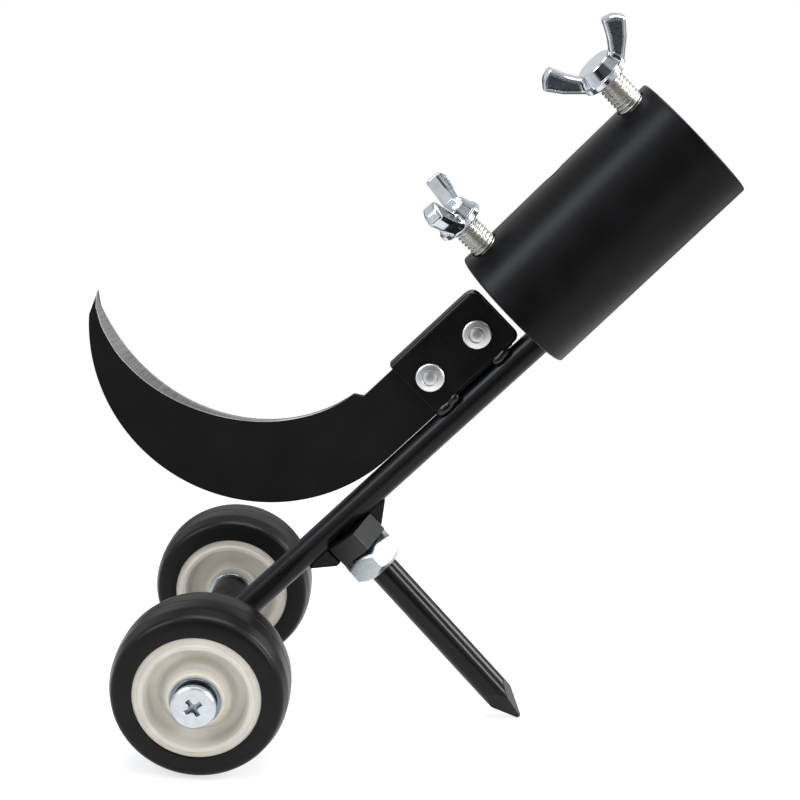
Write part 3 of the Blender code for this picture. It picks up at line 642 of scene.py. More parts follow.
def cut(piece, cutter):
    """Cuts the piece with the cutter, which is then removed."""
    boolean = piece.modifiers.new("cut", "BOOLEAN")
    boolean.operation, boolean.solver, boolean.object = "DIFFERENCE", "EXACT", cutter
    apply_modifiers(piece)
    bpy.data.objects.remove(cutter, do_unlink=True)


socket_tube = turned("tube", tube_section(), TUBE, sides=192, loop=True)
for place, radius, degrees in HOLES:
    angle = math.radians(degrees)
    sideways = np.array([0, -math.sin(angle), 0]) + tube_out * math.cos(angle)
    plug = [(0, TUBE_BORE - 6), (radius, TUBE_BORE - 6), (radius, TUBE_RADIUS + 4), (0, TUBE_RADIUS + 4)]
    hole = stand(tube_foot + place * tube_along, tube_along, sideways)
    cut(socket_tube, turned("cutter", plug, hole, sides=64))
rim = socket_tube.modifiers.new("rim", "BEVEL")
rim.width, rim.segments, rim.limit_method, rim.angle_limit = 0.18 * METRES, 2, "ANGLE", math.radians(60)
smooth(apply_modifiers(socket_tube), 35)
finished(socket_tube, tube_coat, "frame", "socket_tube")

# %% [markdown]
# The rod and the axle bar are plain turned bars. What makes them read as metal is the small rounding of each
# end and the paint's highlight along their length.

# %% Rod and axle bar
ROD_RADIUS, ROD_START, ROD_END = 4.0, 5.1, 150.0
AXLE_RADIUS, AXLE_HALF = 6.0, 26.2


def bar_section(radius, low, high, edge):
    """Half the section of a bar with rounded ends and 40 even rows of points between them."""
    end = rounded([(0, low), (radius, low), (radius, low + 2 * edge)], edge, 5)
    side = np.stack([np.full(40, radius), np.linspace(low + 2 * edge, high - 2 * edge, 40)], -1)
    return np.concatenate([end, side, mirrored(end, (low + high) / 2)])


rod = turned("rod", bar_section(ROD_RADIUS, ROD_START, ROD_END, 0.5), ROD, sides=96)
finished(rod, frame_coat, "frame", "main_rod")
AXLE = stand(axle, (1, 0, 0), (0, -1, 0))
bar = turned("axle", bar_section(AXLE_RADIUS, -AXLE_HALF, AXLE_HALF, 0.5), AXLE, sides=96)
finished(bar, frame_coat, "frame", "axle_bar")

# %% [markdown]
# Each wheel is a rubber tyre on a plastic hub. The tyre's section is a flat side wall, a broad shoulder and a
# nearly flat tread with the mould's parting line round its middle. The hub has a flat rim, a bead, a dish and
# a boss that stands higher on its outer side. All of it is turned, so each wheel is two sections.

# %% Wheel sections
TYRE_RADIUS, TYRE_HALF, TYRE_BORE, TYRE_LIP = 25.0, 10.0, 18.0, 19.6
HUB_RADIUS = 17.9


def tyre_section():
    """The tyre's closed section: bore, side wall, shoulder, tread, half the parting line, and mirrored."""
    wall = rounded([(TYRE_BORE - 0.3, TYRE_HALF - 1.5), (TYRE_BORE - 0.1, TYRE_HALF - 0.1),
                    (TYRE_LIP, TYRE_HALF)], 0.35, 4)
    shoulder = rounded([(TYRE_LIP, TYRE_HALF), (23.5, TYRE_HALF - 0.25), (24.8, TYRE_HALF - 5.0),
                        (TYRE_RADIUS, 1.0)], (0, 4.4, 6.0, 0), 14)
    half = np.concatenate([wall, shoulder[1:], [(TYRE_RADIUS, 0.28), (TYRE_RADIUS - 0.16, 0.10)]])
    return np.concatenate([half, mirrored(half)])


def hub_section():
    """The hub's closed section: from the bore out over boss, dish, bead and rim. The inner boss is lower."""
    outer_boss = [(5.0, 11.0), (7.8, 11.0), (8.8, 8.2)]
    inner_boss = [(5.0, 7.6), (7.7, 7.6), (8.7, 6.4)]
    dish = [(11.0, 5.4), (13.3, 6.3), (14.0, 9.0), (14.6, 10.2), (15.8, 10.4), (16.3, 9.5),
            (HUB_RADIUS - 0.1, 9.3), (HUB_RADIUS, 8.4)]
    radii = (0, 0.8, 2.2, 3.2, 1.6, 0.8, 0.5, 0.4, 0.3, 0.2, 0)
    outer, inner = (rounded(boss + dish, radii, 8) for boss in (outer_boss, inner_boss))
    return np.concatenate([outer, mirrored(inner)])


for side, placed in WHEELS.items():
    tyre = turned(f"{side}_rubber_tyre", tyre_section(), placed, sides=200, loop=True)
    finished(tyre, rubber(f"{side} rubber", placed[:3, 3]), f"{side}_wheel", f"{side}_tyre")
    hub = turned(f"{side}_plastic_hub", hub_section(), placed, sides=160, loop=True)
    finished(hub, cream, f"{side}_wheel", f"{side}_hub")

# %% [markdown]
# A wheel is held by a cross-recessed pan head screw, a split spring washer and a flat washer, and turns on a
# sleeve. The recess tapers: each slot is narrower at its foot, and the slots meet in a small pit.

# %% Wheel screws and washers
SCREW_SEAT, SCREW_TOP, SCREW_HEAD_RADIUS = 13.7, 15.6, 6.2
CROSS_TURN, LOCK_MIDDLE = 35, 12.95
SHANK_RADIUS, SHANK_END, RING_BORE = 2.9, -25.5, 3.3
RINGS = {"outer_washer": (7.0, 11.3, 12.2, washer_zinc), "inner_washer": (7.0, -11.0, -9.8, nut_zinc),
         "sleeve": (4.7, -9.5, 11.0, washer_zinc)}


def cross_recess(x, y, z):
    """A cross: in each slot the half width shrinks with depth, and its ends slope in to a pit."""
    turn = math.radians(CROSS_TURN)
    a, b = x * math.cos(turn) + y * math.sin(turn), y * math.cos(turn) - x * math.sin(turn)
    depth = SCREW_TOP - z
    cross = np.inf
    for length, width in ((a, b), (b, a)):
        slot = soft_max(np.abs(width) - 0.68 + depth * 0.10, np.abs(length) - 2.75 + depth * 0.55, 0.1)
        cross = np.minimum(cross, soft_max(slot, depth - 1.4, 0.1))
    pit = np.hypot(x, y) - 1.25 + depth * 0.25
    return soft_min(cross, np.maximum(pit, depth - 1.5), 0.25)


def screw_head(x, y, z):
    """A low pan head less the cross."""
    pan = [(0, SCREW_SEAT), (SCREW_HEAD_RADIUS, SCREW_SEAT), (SCREW_HEAD_RADIUS, SCREW_TOP - 0.5),
           (SCREW_HEAD_RADIUS - 0.5, SCREW_TOP), (0, SCREW_TOP)]
    return soft_max(outline_distance(np.hypot(x, y), z, pan), -cross_recess(x, y, z), 0.16)


def lock_washer(x, y, z):
    """A spring washer: a square ring, cut through on one side by a slanted slit."""
    radius = np.hypot(x, y)
    plate = slab(soft_max(radius - 5.6, RING_BORE - radius, 0.2), z - LOCK_MIDDLE, 0.45, 0.2)
    slit = np.maximum(np.abs(y - 0.6 * (z - LOCK_MIDDLE)) - 0.35, -x)
    return np.maximum(plate, -slit)


def mark_sunk(piece, share):
    """Writes the attribute sunk: 1 where the surface is sunk and dull, 0 elsewhere."""
    write(piece, "sunk", np.clip(share, 0, 1))


for side, placed in WHEELS.items():
    head = sculpted(f"{side}_screw_head", screw_head, (-6.8, -6.8, 13.1), (6.8, 6.8, 16.2), 0.11, placed)
    across, along, up = local_points(head, placed).T
    # The cross recess is marked sunk, which paints shade into it.
    mark_sunk(head, 0.5 - cross_recess(across, along, up) / 0.2 - np.clip(up - SCREW_TOP + 0.12, 0, 1) * 6)
    section = bar_section(SHANK_RADIUS, SHANK_END, SCREW_SEAT, 0.3)
    shank = turned(f"{side}_screw_shank", section, placed, sides=48)
    for part in (head, shank):
        finished(part, screw_zinc, "frame", f"{side}_wheel_screw")
    split = sculpted(f"{side}_spring_washer", lock_washer, (-6.2, -6.2, 12.1), (6.2, 6.2, 13.8), 0.13,
                     placed)
    finished(split, spring_steel, "frame", f"{side}_lock_washer")
    for name, (*sizes, plate) in RINGS.items():
        section = rectangle(RING_BORE, *sizes, 0.25, 3)
        flat = turned(f"{side}_flat_{name}", section, placed, sides=96, loop=True)
        finished(flat, plate, "frame", f"{side}_{name}")

# %% [markdown]
# A wing head is cast: a conical boss with a stepped flange, and two wings that rise from it. Each wing has
# cut edges and a sunk panel on both faces. As a distance it is a turned outline joined to two plates, and a
# soft union leaves the fillet that molten metal leaves.

# %% Wing heads
BOSS = [(0, 5.6), (4.9, 5.6), (5.2, 5.35), (6.15, 2.1), (6.75, 1.75), (6.75, 0.35), (6.35, 0), (0, 0)]
WING_CORNERS = [(3.0, 0.9), (6.7, 0.9), (11.3, 5.3), (14.5, 9.6), (12.6, 12.2), (9.3, 13.2), (7.2, 8.4),
                (4.9, 4.8), (3.0, 4.0)]
WING = rounded(WING_CORNERS, (0, 0.6, 9.0, 0.9, 4.0, 0.8, 12.0, 1.0, 0), 5, closed=True)
WING_HALF, WING_CHAMFER = 2.5, 0.75
PANEL_RIM, PANEL_DEPTH, PANEL_START = 0.98, 0.5, 7.35
STUD_RADIUS, STUD_ROOT, STUD_PITCH = 3.9, 3.35, 1.25


def wing_shapes(x, z):
    """The wing's outline, and its sunk panel: the outline set in, from the boss outwards."""
    side = np.abs(x)
    outline = outline_distance(side, z, WING)
    past_boss = PANEL_START - 0.909 * side - 0.418 * z
    return outline, soft_max(outline + PANEL_RIM, past_boss, 0.4)


def wing_head(x, y, z):
    """The boss softly joined to a plate for both wings, less the panels and the stud's socket."""
    radius = np.hypot(x, y)
    boss = outline_distance(radius, z, BOSS)
    outline, panel = wing_shapes(x, z)
    wing = slab(outline, y, WING_HALF, 0.5, chamfer=WING_CHAMFER)
    panel = slab(panel, np.abs(y) - WING_HALF, PANEL_DEPTH, 0.4)
    socket = np.maximum(radius - STUD_RADIUS - 0.15, z - 4.3)
    return np.maximum(soft_min(boss, soft_max(wing, -panel, 0.35), 0.6), -socket)


for name, placed in BOLTS.items():
    head = sculpted(f"{name}_wings", wing_head, (-15.2, -7.6, -0.9), (15.2, 7.6, 14.2), 0.13, placed)
    across, along, up = local_points(head, placed).T
    below = np.clip((WING_HALF - np.abs(along) - 0.2) / 0.2, 0, 1)
    mark_sunk(head, np.clip(0.5 - wing_shapes(across, up)[1] / 0.25, 0, 1) * below)
    finished(head, head_zinc, f"{name}_head", f"{name}_wing_head")

# %% [markdown]
# A thread is a ridge that climbs one pitch in each turn. On a grid of angle and height, the radius is the
# root plus a ridge of the phase height / pitch - angle / 2 pi. A clipped triangle wave gives sloping flanks
# and a narrow flat crest, and a cone at each end lets the thread run out.

# %% Threaded studs


def threaded(name, root, crest, pitch, low, high, placed):
    """A closed threaded bar from low to high, with 14 rows of points for each turn."""
    height = np.linspace(low, high, int((high - low) / pitch * 14))[:, None]
    phase = np.mod(height / pitch - all_round(72) / (2 * math.pi), 1)
    ridge = np.clip((0.86 - np.abs(2 * phase - 1)) / 0.70, 0, 1)
    ridge = ridge * ridge * (3 - 2 * ridge) * 0.35 + ridge * 0.65
    cone = root - 0.5 + np.minimum(height - low, high - height) * 1.08
    radius = np.minimum(root + (crest - root) * ridge, cone)
    return round_piece(name, *capped(radius, height), placed, degrees=50)


for name, placed in BOLTS.items():
    stud = threaded(f"{name}_stud", STUD_ROOT, STUD_RADIUS, STUD_PITCH, -20.6, 4.1, placed)
    finished(stud, stud_zinc, f"{name}_screw", f"{name}_wing_screw")

# %% [markdown]
# The nut and the coupling are hexagons. Their corners are turned off, the nut's more steeply, which leaves a
# curved line on each flat. As distances: the largest of three pairs of planes, two cones and two faces.

# %% Nut and coupling
HALF_FLATS, HEX_BORE = 8.0, 5.0
NUT = {"top": -8.2, "bottom": -16.3, "turn": 44.5, "cone_radius": 6.95, "slant": 42}
COUPLING = {"top": -1.2, "bottom": -7.8, "turn": 48, "cone_radius": 8.95, "slant": 30}


def hexagon(x, y, z, top, bottom, turn, cone_radius, slant):
    """A hexagon round z from bottom to top: its corners cut by cones that start at cone_radius."""
    shape = np.full(np.shape(x), -np.inf)
    for angle in np.radians(turn + 30 + 60 * np.arange(3)):
        shape = soft_max(shape, np.abs(x * math.cos(angle) + y * math.sin(angle)) - HALF_FLATS, 0.14)
    radius, slant = np.hypot(x, y), math.radians(slant)
    for end in (z - top, bottom - z):
        shape = soft_max(shape, (radius - cone_radius) * math.sin(slant) + end * math.cos(slant), 0.12)
        shape = soft_max(shape, end, 0.12)
    return soft_max(shape, HEX_BORE - radius, 0.15)


def nut_shape(x, y, z):
    """The jam nut."""
    return hexagon(x, y, z, **NUT)


def coupling_shape(x, y, z):
    """The coupling, hollowed on top to sit against the rod."""
    to_rod = (np.linalg.inv(ROD) @ SPIKE)[:2]
    from_rod = np.hypot(*(a * x + b * y + c * z + d for a, b, c, d in to_rod))
    return soft_max(hexagon(x, y, z, **COUPLING), ROD_RADIUS - 0.3 - from_rod, 0.1)


nut = sculpted("locking_nut", nut_shape, (-10, -10, -17.2), (10, 10, -7.4), 0.16, SPIKE)
finished(nut, nut_zinc, "nut", "jam_nut")
coupling = sculpted("coupling", coupling_shape, (-10, -10, -8.7), (10, 10, -0.4), 0.17, SPIKE)
finished(coupling, hex_coat, "frame", "spike_coupling")

# %% [markdown]
# The spike is a bar of 9 mm, threaded where it goes into the coupling and ground to four flats at its point.
# Its radius is a function of angle and height: the smaller of the bar's own radius and the pyramid's.

# %% Spike
SPIKE_RADIUS, SPIKE_START, SPIKE_TIP = 4.5, 17.0, 80.8
SPIKE_SHOULDER, SPIKE_BLUNT, POINT_TURN = 68.2, 0.5, 30


def spike_piece():
    """Bar and point: radius = soft minimum of 4.5 mm and half width / cos(angle from the nearest flat)."""
    depth = [np.linspace(SPIKE_START + 0.2, 66.0, 60), np.linspace(66.2, SPIKE_TIP, 90)]
    depth = np.concatenate(depth)[:, None]
    quarter = math.pi / 2
    from_flat = np.mod(all_round(256) - math.radians(POINT_TURN), quarter) - quarter / 2
    half = SPIKE_BLUNT + (SPIKE_TIP - depth) * (SPIKE_RADIUS - SPIKE_BLUNT) / (SPIKE_TIP - SPIKE_SHOULDER)
    radius = soft_min(SPIKE_RADIUS, half / np.cos(from_flat), 0.16)
    radius, height = np.concatenate([radius[:1] - 0.25, radius]), -np.concatenate([[[SPIKE_START]], depth])
    return round_piece("spike_bar", *capped(radius, height), SPIKE, degrees=28)


finished(spike_piece(), spike_coat, "spike", "spike")
spike_thread = threaded("spike_thread", 4.3, 4.85, 1.5, -17.4, -2.4, SPIKE)
finished(spike_thread, spike_coat, "spike", "spike")

# %% [markdown]
# The blade is flat spring steel. Seen from its side it lies between its back, an arc, and its edge, an arc
# that widens towards the tip. So a point of the blade is given by how far it lies along the two curves and by
# its place round the thin section: near face, bevel, edge, far face and back.

# %% Blade
OUTER_CENTRE, OUTER_RADIUS = np.array([12.86, 117.15]), 51.0
EDGE_RADIUS, EDGE_GROWTH = 44.8, -10.36
BLADE_TIP = np.array([-35.5, 127.4])
TANG_BOTTOM, TANG_TOP, TANG_TOUCH, TANG_STEP, TANG_END = 3.9, 22.2, 75.2, 82.5, 124.0
BACK_END, EDGE_START, EDGE_END = -184, -166, -66
CURVE_POINTS, PAST_HEEL = 120, 18
EDGE_ROWS, STEP_ROWS, TANG_ROWS = 220, 12, 40
FACE_POINTS, BEVEL_POINTS = 10, 11
BLADE_ROUNDING, BEVEL_SLOPE = 0.12, 0.49
BEVEL_WIDTHS = [(0, 0.4), (0.04, 1.2), (0.1, 2.4), (0.2, 3.05), (0.3, 2.75), (0.4, 2.05), (0.5, 1.25),
                (0.6, 0.75), (0.7, 0.4), (0.8, 0.15), (1, 0.05)]


def on_rod(distance, out):
    """X and Z, from the point under the axle, of a point of the rod's frame."""
    return (distance * rod_along + out * rod_out)[[0, 2]] + (0, TYRE_RADIUS)


def arc(centre, radius, angles):
    """Points at a radius from a centre: centre + radius * (cos a, sin a)."""
    return centre + np.stack([radius * np.cos(angles), radius * np.sin(angles)], -1)


def even(line, count):
    """The line resampled at even distances."""
    line = np.asarray(line)
    length = np.concatenate([[0], np.cumsum(np.linalg.norm(np.diff(line, axis=0), axis=1))])
    at = np.linspace(0, length[-1], count)
    return np.stack([np.interp(at, length, line[:, axis]) for axis in (0, 1)], -1)


def blade_curves():
    """Back and edge, as matching rows of points from the tip over the heel's step to the tang's end."""
    back = arc(OUTER_CENTRE, OUTER_RADIUS, np.radians(np.linspace(BACK_END, ROD_LEAN - 90, CURVE_POINTS)))
    back = back + (on_rod(TANG_TOUCH, TANG_BOTTOM) - back[-1]) * np.linspace(0, 1, CURVE_POINTS)[:, None]
    angles = np.radians(np.linspace(EDGE_START, EDGE_END, CURVE_POINTS))
    edge = arc(EDGE_CENTRE, EDGE_RADIUS + EDGE_GROWTH * (angles + math.pi / 2), angles)
    foot, heel_at = on_rod(TANG_STEP, TANG_TOP), CURVE_POINTS - PAST_HEEL
    back = [np.vstack([BLADE_TIP, back[:heel_at + 1]]), back[heel_at:],
            [back[-1], on_rod(TANG_END, TANG_BOTTOM)]]
    edge = [np.vstack([BLADE_TIP, edge]), [edge[-1], foot], [foot, on_rod(TANG_END, TANG_TOP)]]
    return [np.concatenate([even(lines[0], EDGE_ROWS), even(lines[1], STEP_ROWS)[1:],
                            even(lines[2], TANG_ROWS)[1:]]) for lines in (back, edge)]


def blade_piece():
    """Each row is a closed section: position = back + (edge - back) * share, with y from face and bevel."""
    back, edge = blade_curves()
    width = np.linalg.norm(edge - back, axis=1)[:, None]
    way = (edge - back) / np.maximum(width, 1e-6)
    width = np.maximum(width, 0.02)
    row = np.arange(len(width))[:, None] / (EDGE_ROWS - 1)
    ground = np.minimum(np.interp(row, *np.transpose(BEVEL_WIDTHS)), width * 0.8) * (row <= 1)
    bevel, small = width - ground, np.minimum(BLADE_ROUNDING, width / 3)
    flat = np.linspace(0, 1, FACE_POINTS)
    past = np.concatenate([[0.02], np.linspace(0, 1, BEVEL_POINTS)[1:]])
    across = np.concatenate([small + (np.maximum(bevel, small) - small) * flat,
                             bevel + (width - small * 0.2 - bevel) * past,
                             width, width - small + (2 * small - width) * flat, 0 * width], 1)
    near_points = FACE_POINTS + BEVEL_POINTS
    face = np.repeat([-1, 0, 1, 0], (near_points, 1, FACE_POINTS, 1))
    near = np.clip(BEVEL_SLOPE * (across - bevel), 0, 2 * BLADE_HALF - 0.1) - BLADE_HALF
    y = np.where(face < 0, near, BLADE_HALF * face)
    y[:, near_points] = (near[:, near_points] + BLADE_HALF - small[:, 0]) / 2
    x, z = np.moveaxis(back[:, None] + way[:, None] * across[..., None], -1, 0)
    points = np.stack([x + axle[0], y, z], -1)
    ends = 0 * points[[0, -1]] + points[[0, -1]].mean(1, keepdims=True)
    points = np.concatenate([ends[:1], points, ends[1:]])
    made = smooth(mesh_of("sickle", points.reshape(-1, 3), grid_faces(*points.shape[:2]), np.eye(4)), 15)
    x, y, z = local_points(made, np.eye(4)).T
    spots = np.stack([x - axle[0], z], -1)
    nearest = np.argmin(((spots[:, None] - edge[:EDGE_ROWS]) ** 2).sum(-1), 1)
    past_line = ground[nearest, 0] - np.linalg.norm(spots - edge[nearest], axis=1)
    write(made, "ground", np.where(y < BLADE_HALF - 0.1, past_line, -1.0))
    return made


finished(blade_piece(), blade_coat, "frame", "blade")

# %% [markdown]
# A sheet of 1.6 mm is folded over the blade's tang and welded to the rod. Its near leg stops above the rod,
# its far leg reaches down to it. A rounded block less a plain one is the fold, and the side view trims it.

# %% Bracket
BRACKET_START, BRACKET_END, BRACKET_TOP, BRACKET_OPEN = 94.4, 127.3, 24.1, -9
BRACKET_OUTER, BRACKET_INNER, BRACKET_WALL = 3.1, 1.5, 1.6
FRONT_LEG, BACK_LEG, PAST_TOP = 5.2, 3.7, 40


def bracket_shape(x, y, z):
    """Along the rod, across it and out from it: a folded sheet with rounded corners."""
    outer = rectangle(-BRACKET_OUTER, BRACKET_OUTER, BRACKET_OPEN, BRACKET_TOP, (0, 0, 1.8, 1.8), 6)
    inner = np.maximum(np.abs(y) - BRACKET_INNER, z - (BRACKET_TOP - BRACKET_WALL))
    fold = soft_max(outline_distance(y, z, outer), -inner, 0.2)
    side, near, far = [outline_distance(x, z, rectangle(BRACKET_START, BRACKET_END, low, high, radii, 8))
                       for low, high, radii in ((BRACKET_OPEN, BRACKET_TOP, (0, 0, 4.2, 0.8)),
                                                (FRONT_LEG, PAST_TOP, (0.4, 3.0, 0, 0)),
                                                (BACK_LEG, PAST_TOP, (0.4, 3.0, 0, 0)))]
    return soft_max(soft_max(fold, side, 0.35), np.where(y < 0, near, far), 0.35)


bracket = sculpted("bracket", bracket_shape, (93, -4.2, 2.4), (129, 4.2, 25.4), 0.22, ROD_SIDE)
finished(bracket, frame_coat, "frame", "blade_bracket")

# %% [markdown]
# Two rivets hold the tang. Each pressed head has a sloping bright rim, a groove and a low dome. The groove is
# darkened as painted shade, and the dome is made a little darker.

# %% Rivets
RIVET_HEIGHT, RIVET_SEAT, RIVET_GROOVE = 13.6, 3.1, 2.15


def rivet_section():
    """From one dome over rim and shank to the other: radius and height along the rivet."""
    top = RIVET_SEAT + 1.35
    half = [(0, top + 0.22), (1.2, top + 0.12), (RIVET_GROOVE - 0.2, top - 0.14), (RIVET_GROOVE, top - 0.24),
            (RIVET_GROOVE + 0.2, top - 0.02), (3.8, top - 0.34), (4.15, top - 0.60), (4.15, RIVET_SEAT - 0.2),
            (2.4, RIVET_SEAT - 0.2)]
    half = rounded(half, (0, 2.5, 0.2, 0.08, 0.15, 0.4, 0.3, 0.05, 0), 6)
    return np.concatenate([half, mirrored(half)])[::-1]


for name, place in (("lower", 100.7), ("upper", 119.0)):
    placed = stand(axle + place * rod_along + RIVET_HEIGHT * rod_out, rod_along, (0, -1, 0))
    rivet = turned(f"{name}_rivet_head", rivet_section(), placed, sides=96)
    from_groove = np.hypot(*local_points(rivet, placed)[:, :2].T) - RIVET_GROOVE
    # Painted shade in the groove; the dome inside it is made a little darker.
    mark_sunk(rivet, np.maximum(1 - np.abs(from_groove) / 0.22, np.where(from_groove < 0, 0.35, 0)))
    finished(rivet, rivet_steel, "frame", f"{name}_rivet")

# %% [markdown]
# Weld beads are puddles that froze one after the other: each is a row of unlike balls, joined softly.
# Two gussets, triangles of 3 mm plate, brace the coupling against the rod.

# %% Welds and gussets


def bead_piece(name, balls, node, placed=ROD_SIDE, width=0.9):
    """A weld bead of balls (x, y, z, radius) that run into each other, in the box that they need."""
    balls = np.array(balls, float)
    reach = balls[:, 3:] + 1.2
    low, high = (balls[:, :3] - reach).min(0), (balls[:, :3] + reach).max(0)

    def distance(x, y, z):
        """The soft union of the balls."""
        joined = np.full(np.shape(x), np.inf)
        for bx, by, bz, radius in balls:
            ball = np.sqrt((x - bx) ** 2 + (y - by) ** 2 + (z - bz) ** 2) - radius
            joined = soft_min(joined, ball, width)
        return joined

    finished(sculpted(name, distance, low, high, 0.16, placed), weld_coat, "frame", node)


def row_of_balls(start, end, count, radius, seed):
    """Balls along a line, each a little off it and of its own size."""
    draw = np.random.default_rng(seed)
    share = np.linspace(0, 1, count)[:, None]
    line = np.asarray(start) * (1 - share) + np.asarray(end) * share
    line = line + draw.normal(0, 0.12, (count, 3))
    return np.hstack([line, radius * draw.uniform(0.85, 1.15, (count, 1))])


LOWER_BALLS = [(95.4, -2.6, 4.0, 1.0), (97.0, -2.8, 4.0, 1.45), (98.9, -2.7, 3.8, 1.3),
               (100.6, -3.1, 4.3, 0.9), (102.0, -3.0, 4.4, 1.25)]
UPPER_BALLS = [(117.3, -2.7, 4.2, 0.9), (118.9, -2.7, 4.0, 1.3), (120.7, -2.9, 4.4, 1.0),
               (121.9, -2.6, 4.2, 0.8)]
bead_piece("lower_bead", LOWER_BALLS, "lower_bracket_weld", width=1.6)
bead_piece("upper_bead", UPPER_BALLS, "upper_bracket_weld", width=1.6)
bead_piece("back_bead", row_of_balls((101.4, 2.9, 3.2), (119.6, 2.9, 3.2), 13, 1.25, 7), "back_bracket_weld")
turns = all_round(22)
foot = np.stack([4.4 * np.cos(turns), 4.4 * np.sin(turns), 6.2 - 1.4 * np.sin(turns) ** 2,
                 1.25 + 0.15 * np.sin(5 * turns)], -1)
bead_piece("foot_bead", foot, "axle_weld", placed=ROD)
bead_piece("inner_bead", row_of_balls((134, 0, -8.6), (148, 0, -8.6), 10, 1.1, 9), "socket_weld",
           placed=stand(tube_foot, tube_along, tube_out))

GUSSET_HALF = 1.5
GUSSETS = {
    "lower_gusset": [(34.2, -4.4), (34.2, -5.0), (40.3, -9.7), (41.9, -9.7), (41.9, -4.0), (36.0, -4.0)],
    "upper_gusset": [(65.0, -4.4), (63.0, -4.0), (50.0, -4.0), (50.0, -9.4), (59.2, -9.4), (65.0, -4.8)],
}
for name, corners in GUSSETS.items():
    def gusset_shape(x, y, z, corners=corners):
        """A plate of 3 mm along the rod."""
        return slab(outline_distance(x, z, corners), y, GUSSET_HALF, 0.3)
    low, high = np.min(corners, 0) - 1, np.max(corners, 0) + 1
    low, high = (low[0], -2.6, low[1]), (high[0], 2.6, high[1])
    plate = sculpted(f"{name}_plate", gusset_shape, low, high, 0.2, ROD_SIDE)
    finished(plate, frame_coat, "frame", name)

# %% [markdown]
# The head stands on a pale floor under soft light. The camera and the bright metal see white round it. In
# front, where the camera stands, the room is dark to gloss, and that dark gives black paint its depth.

# %% Floor and surroundings


def light_path(finish):
    """1 for rays from the camera, from gloss and through glass, and 1 for gloss alone."""
    camera, gloss, glass = [finish.node("LightPath", output=f"Is {kind} Ray")
                            for kind in ("Camera", "Glossy", "Transmission")]
    return finish.maths("MAXIMUM", finish.maths("MAXIMUM", camera, gloss), glass), gloss


def floor_material():
    """Pale floor: plain to the lamps, white to the camera and to gloss, and dark to gloss far in front.

    The shadow is seen within 0.2 m of the object and fades into white beyond.
    """
    finish = Finish("pale floor")
    seen, gloss = light_path(finish)
    x, y = finish.along((1, 0, 0)), finish.along((0, 1, 0))
    radius = (x * x + y * y) ** 0.5
    away = finish.ramp(radius, 130, 260)
    ahead = finish.ramp(y / finish.maths("MAXIMUM", radius, 1.0), -0.94, -0.86, 1.0, 0.0)
    behind = finish.ramp(y, 150, 400, 0.2, 0.8)
    dark = gloss * (behind + ahead * finish.ramp(radius, 230, 320, 0.0, 0.78))
    lit = finish.node("BsdfDiffuse", {}, {"Color": (0.40, 0.40, 0.40)})
    glow = finish.node("Emission", {}, {"Color": (1, 1, 1), "Strength": 0.66 * (1 - dark)})
    near = finish.node("AddShader", {}, {0: lit, 1: glow})
    white = finish.node("Emission", {}, {"Color": (1, 1, 1), "Strength": 1 - dark})
    shown = finish.node("MixShader", {}, {0: away, 1: near, 2: white})
    plain = finish.node("BsdfDiffuse", {}, {"Color": (0.8, 0.8, 0.8)})
    mixed = finish.node("MixShader", {}, {0: seen, 1: plain, 2: shown})
    finish.feed(finish.tree.nodes["Material Output"].inputs["Surface"], mixed)
    return finish.made


def studio_world():
    """White for the camera, plain grey for diffuse light, and for gloss a room.

    The room is white, a little greyer overhead, dark within about 30 degrees of the camera and along the
    horizon behind the object. That low dark draws the thin outline round bright metal.
    """
    finish = Finish("studio", world=True)
    seen, gloss = light_path(finish)
    way = finish.node("TexCoord")
    up = finish.dot(way, (0, 0, 1))
    gap = finish.ramp(finish.dot(way, unit((0.12, -1, 0.2))), 0.82, 0.94, 1.0, 0.10)
    behind = finish.ramp(finish.dot(way, (0, 1, 0)), 0.50, 0.80) * finish.ramp(up, 0.05, 0.20, 0.8, 0.0)
    shade = finish.ramp(up, 0.30, 0.80, 0.9, 0.5) * (1 - behind)
    shown = seen * (1 - gloss + gloss * gap * shade)
    return finish.surface({"Color": (1, 1, 1), "Strength": shown + (1 - seen) * 0.62})


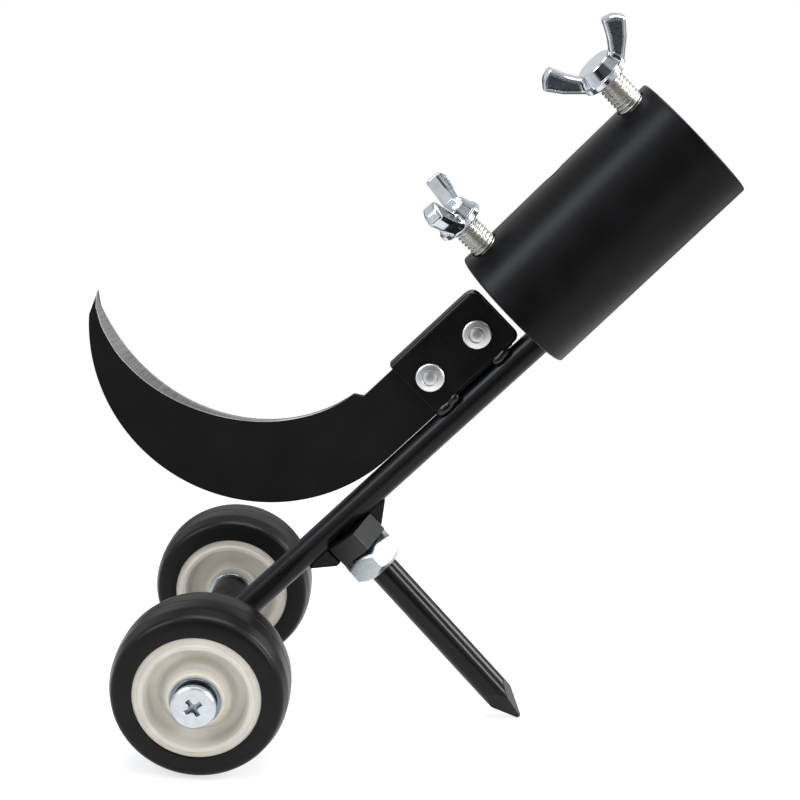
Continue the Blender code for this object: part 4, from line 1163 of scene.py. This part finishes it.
FLOOR_SIZE, FLOOR_DROP = 60.0, 0.00002                 # metres
bpy.ops.mesh.primitive_plane_add(size=FLOOR_SIZE, location=(0, 0, -FLOOR_DROP))
floor = bpy.context.object
floor.name = "floor"
floor.data.materials.append(floor_material())
bpy.context.scene.world = studio_world()

# %% [markdown]
# The lamps are soft boxes. A narrow strip to the right of the camera draws the streak on the spike, and a
# broader box further round lights the bright flat of the nut. A bluer one to the left draws the broad band
# along the tube. The last hangs above.

# %% Lamps
AIM = (0, 0, 0.1)                                      # metres


def soft_box(name, way, distance, size, watts, colour=(1, 1, 1)):
    """An area lamp in a direction from the object, facing it."""
    data = bpy.data.lights.new(name, "AREA")
    data.shape, data.size, data.size_y, data.energy, data.color = "RECTANGLE", *size, watts, colour
    way = unit(way)
    side = np.cross((0, 0, 1), way) if abs(way[2]) < 0.95 else (1, 0, 0)
    added(name, data, stand(AIM + way * distance, side, way))


soft_box("right strip", (0.81, -0.44, 0.38), 1.3, (0.24, 0.70), 8)
soft_box("right box", (0.84, 0.30, 0.42), 1.3, (0.45, 0.70), 11)
soft_box("left box", (-0.70, -0.40, 0.59), 1.3, (0.42, 0.70), 8.0, (0.85, 0.91, 1.0))
soft_box("top box", (0.05, 0.05, 1.0), 1.4, (1.2, 0.9), 22)

# %% [markdown]
# The camera stands 42 cm in front of the head, a little above it, and looks down by 15 degrees. Its place,
# tilt and lens were worked out from the sizes of the wheels and of the tube in the picture.

# %% Camera
CAMERA_SPOT = np.array([2.823, -421.011, 213.140])
CAMERA_PITCH, CAMERA_YAW, CAMERA_ROLL, CAMERA_LENS = 15.172, -0.561, 2.296, 67.80


def add_camera():
    """Looks along yaw and pitch, and is then rolled about its own line of sight."""
    pitch, yaw = math.radians(CAMERA_PITCH), math.radians(CAMERA_YAW)
    ahead = np.array([math.sin(yaw) * math.cos(pitch), math.cos(yaw) * math.cos(pitch), -math.sin(pitch)])
    data = bpy.data.cameras.new("camera")
    data.lens, data.sensor_width = CAMERA_LENS, 36.0
    placed = spun(stand(CAMERA_SPOT * METRES, np.cross(ahead, (0, 0, 1)), -ahead), CAMERA_ROLL)
    bpy.context.scene.camera = added("camera", data, placed)


add_camera()
bpy.context.scene.view_settings.view_transform = "Standard"
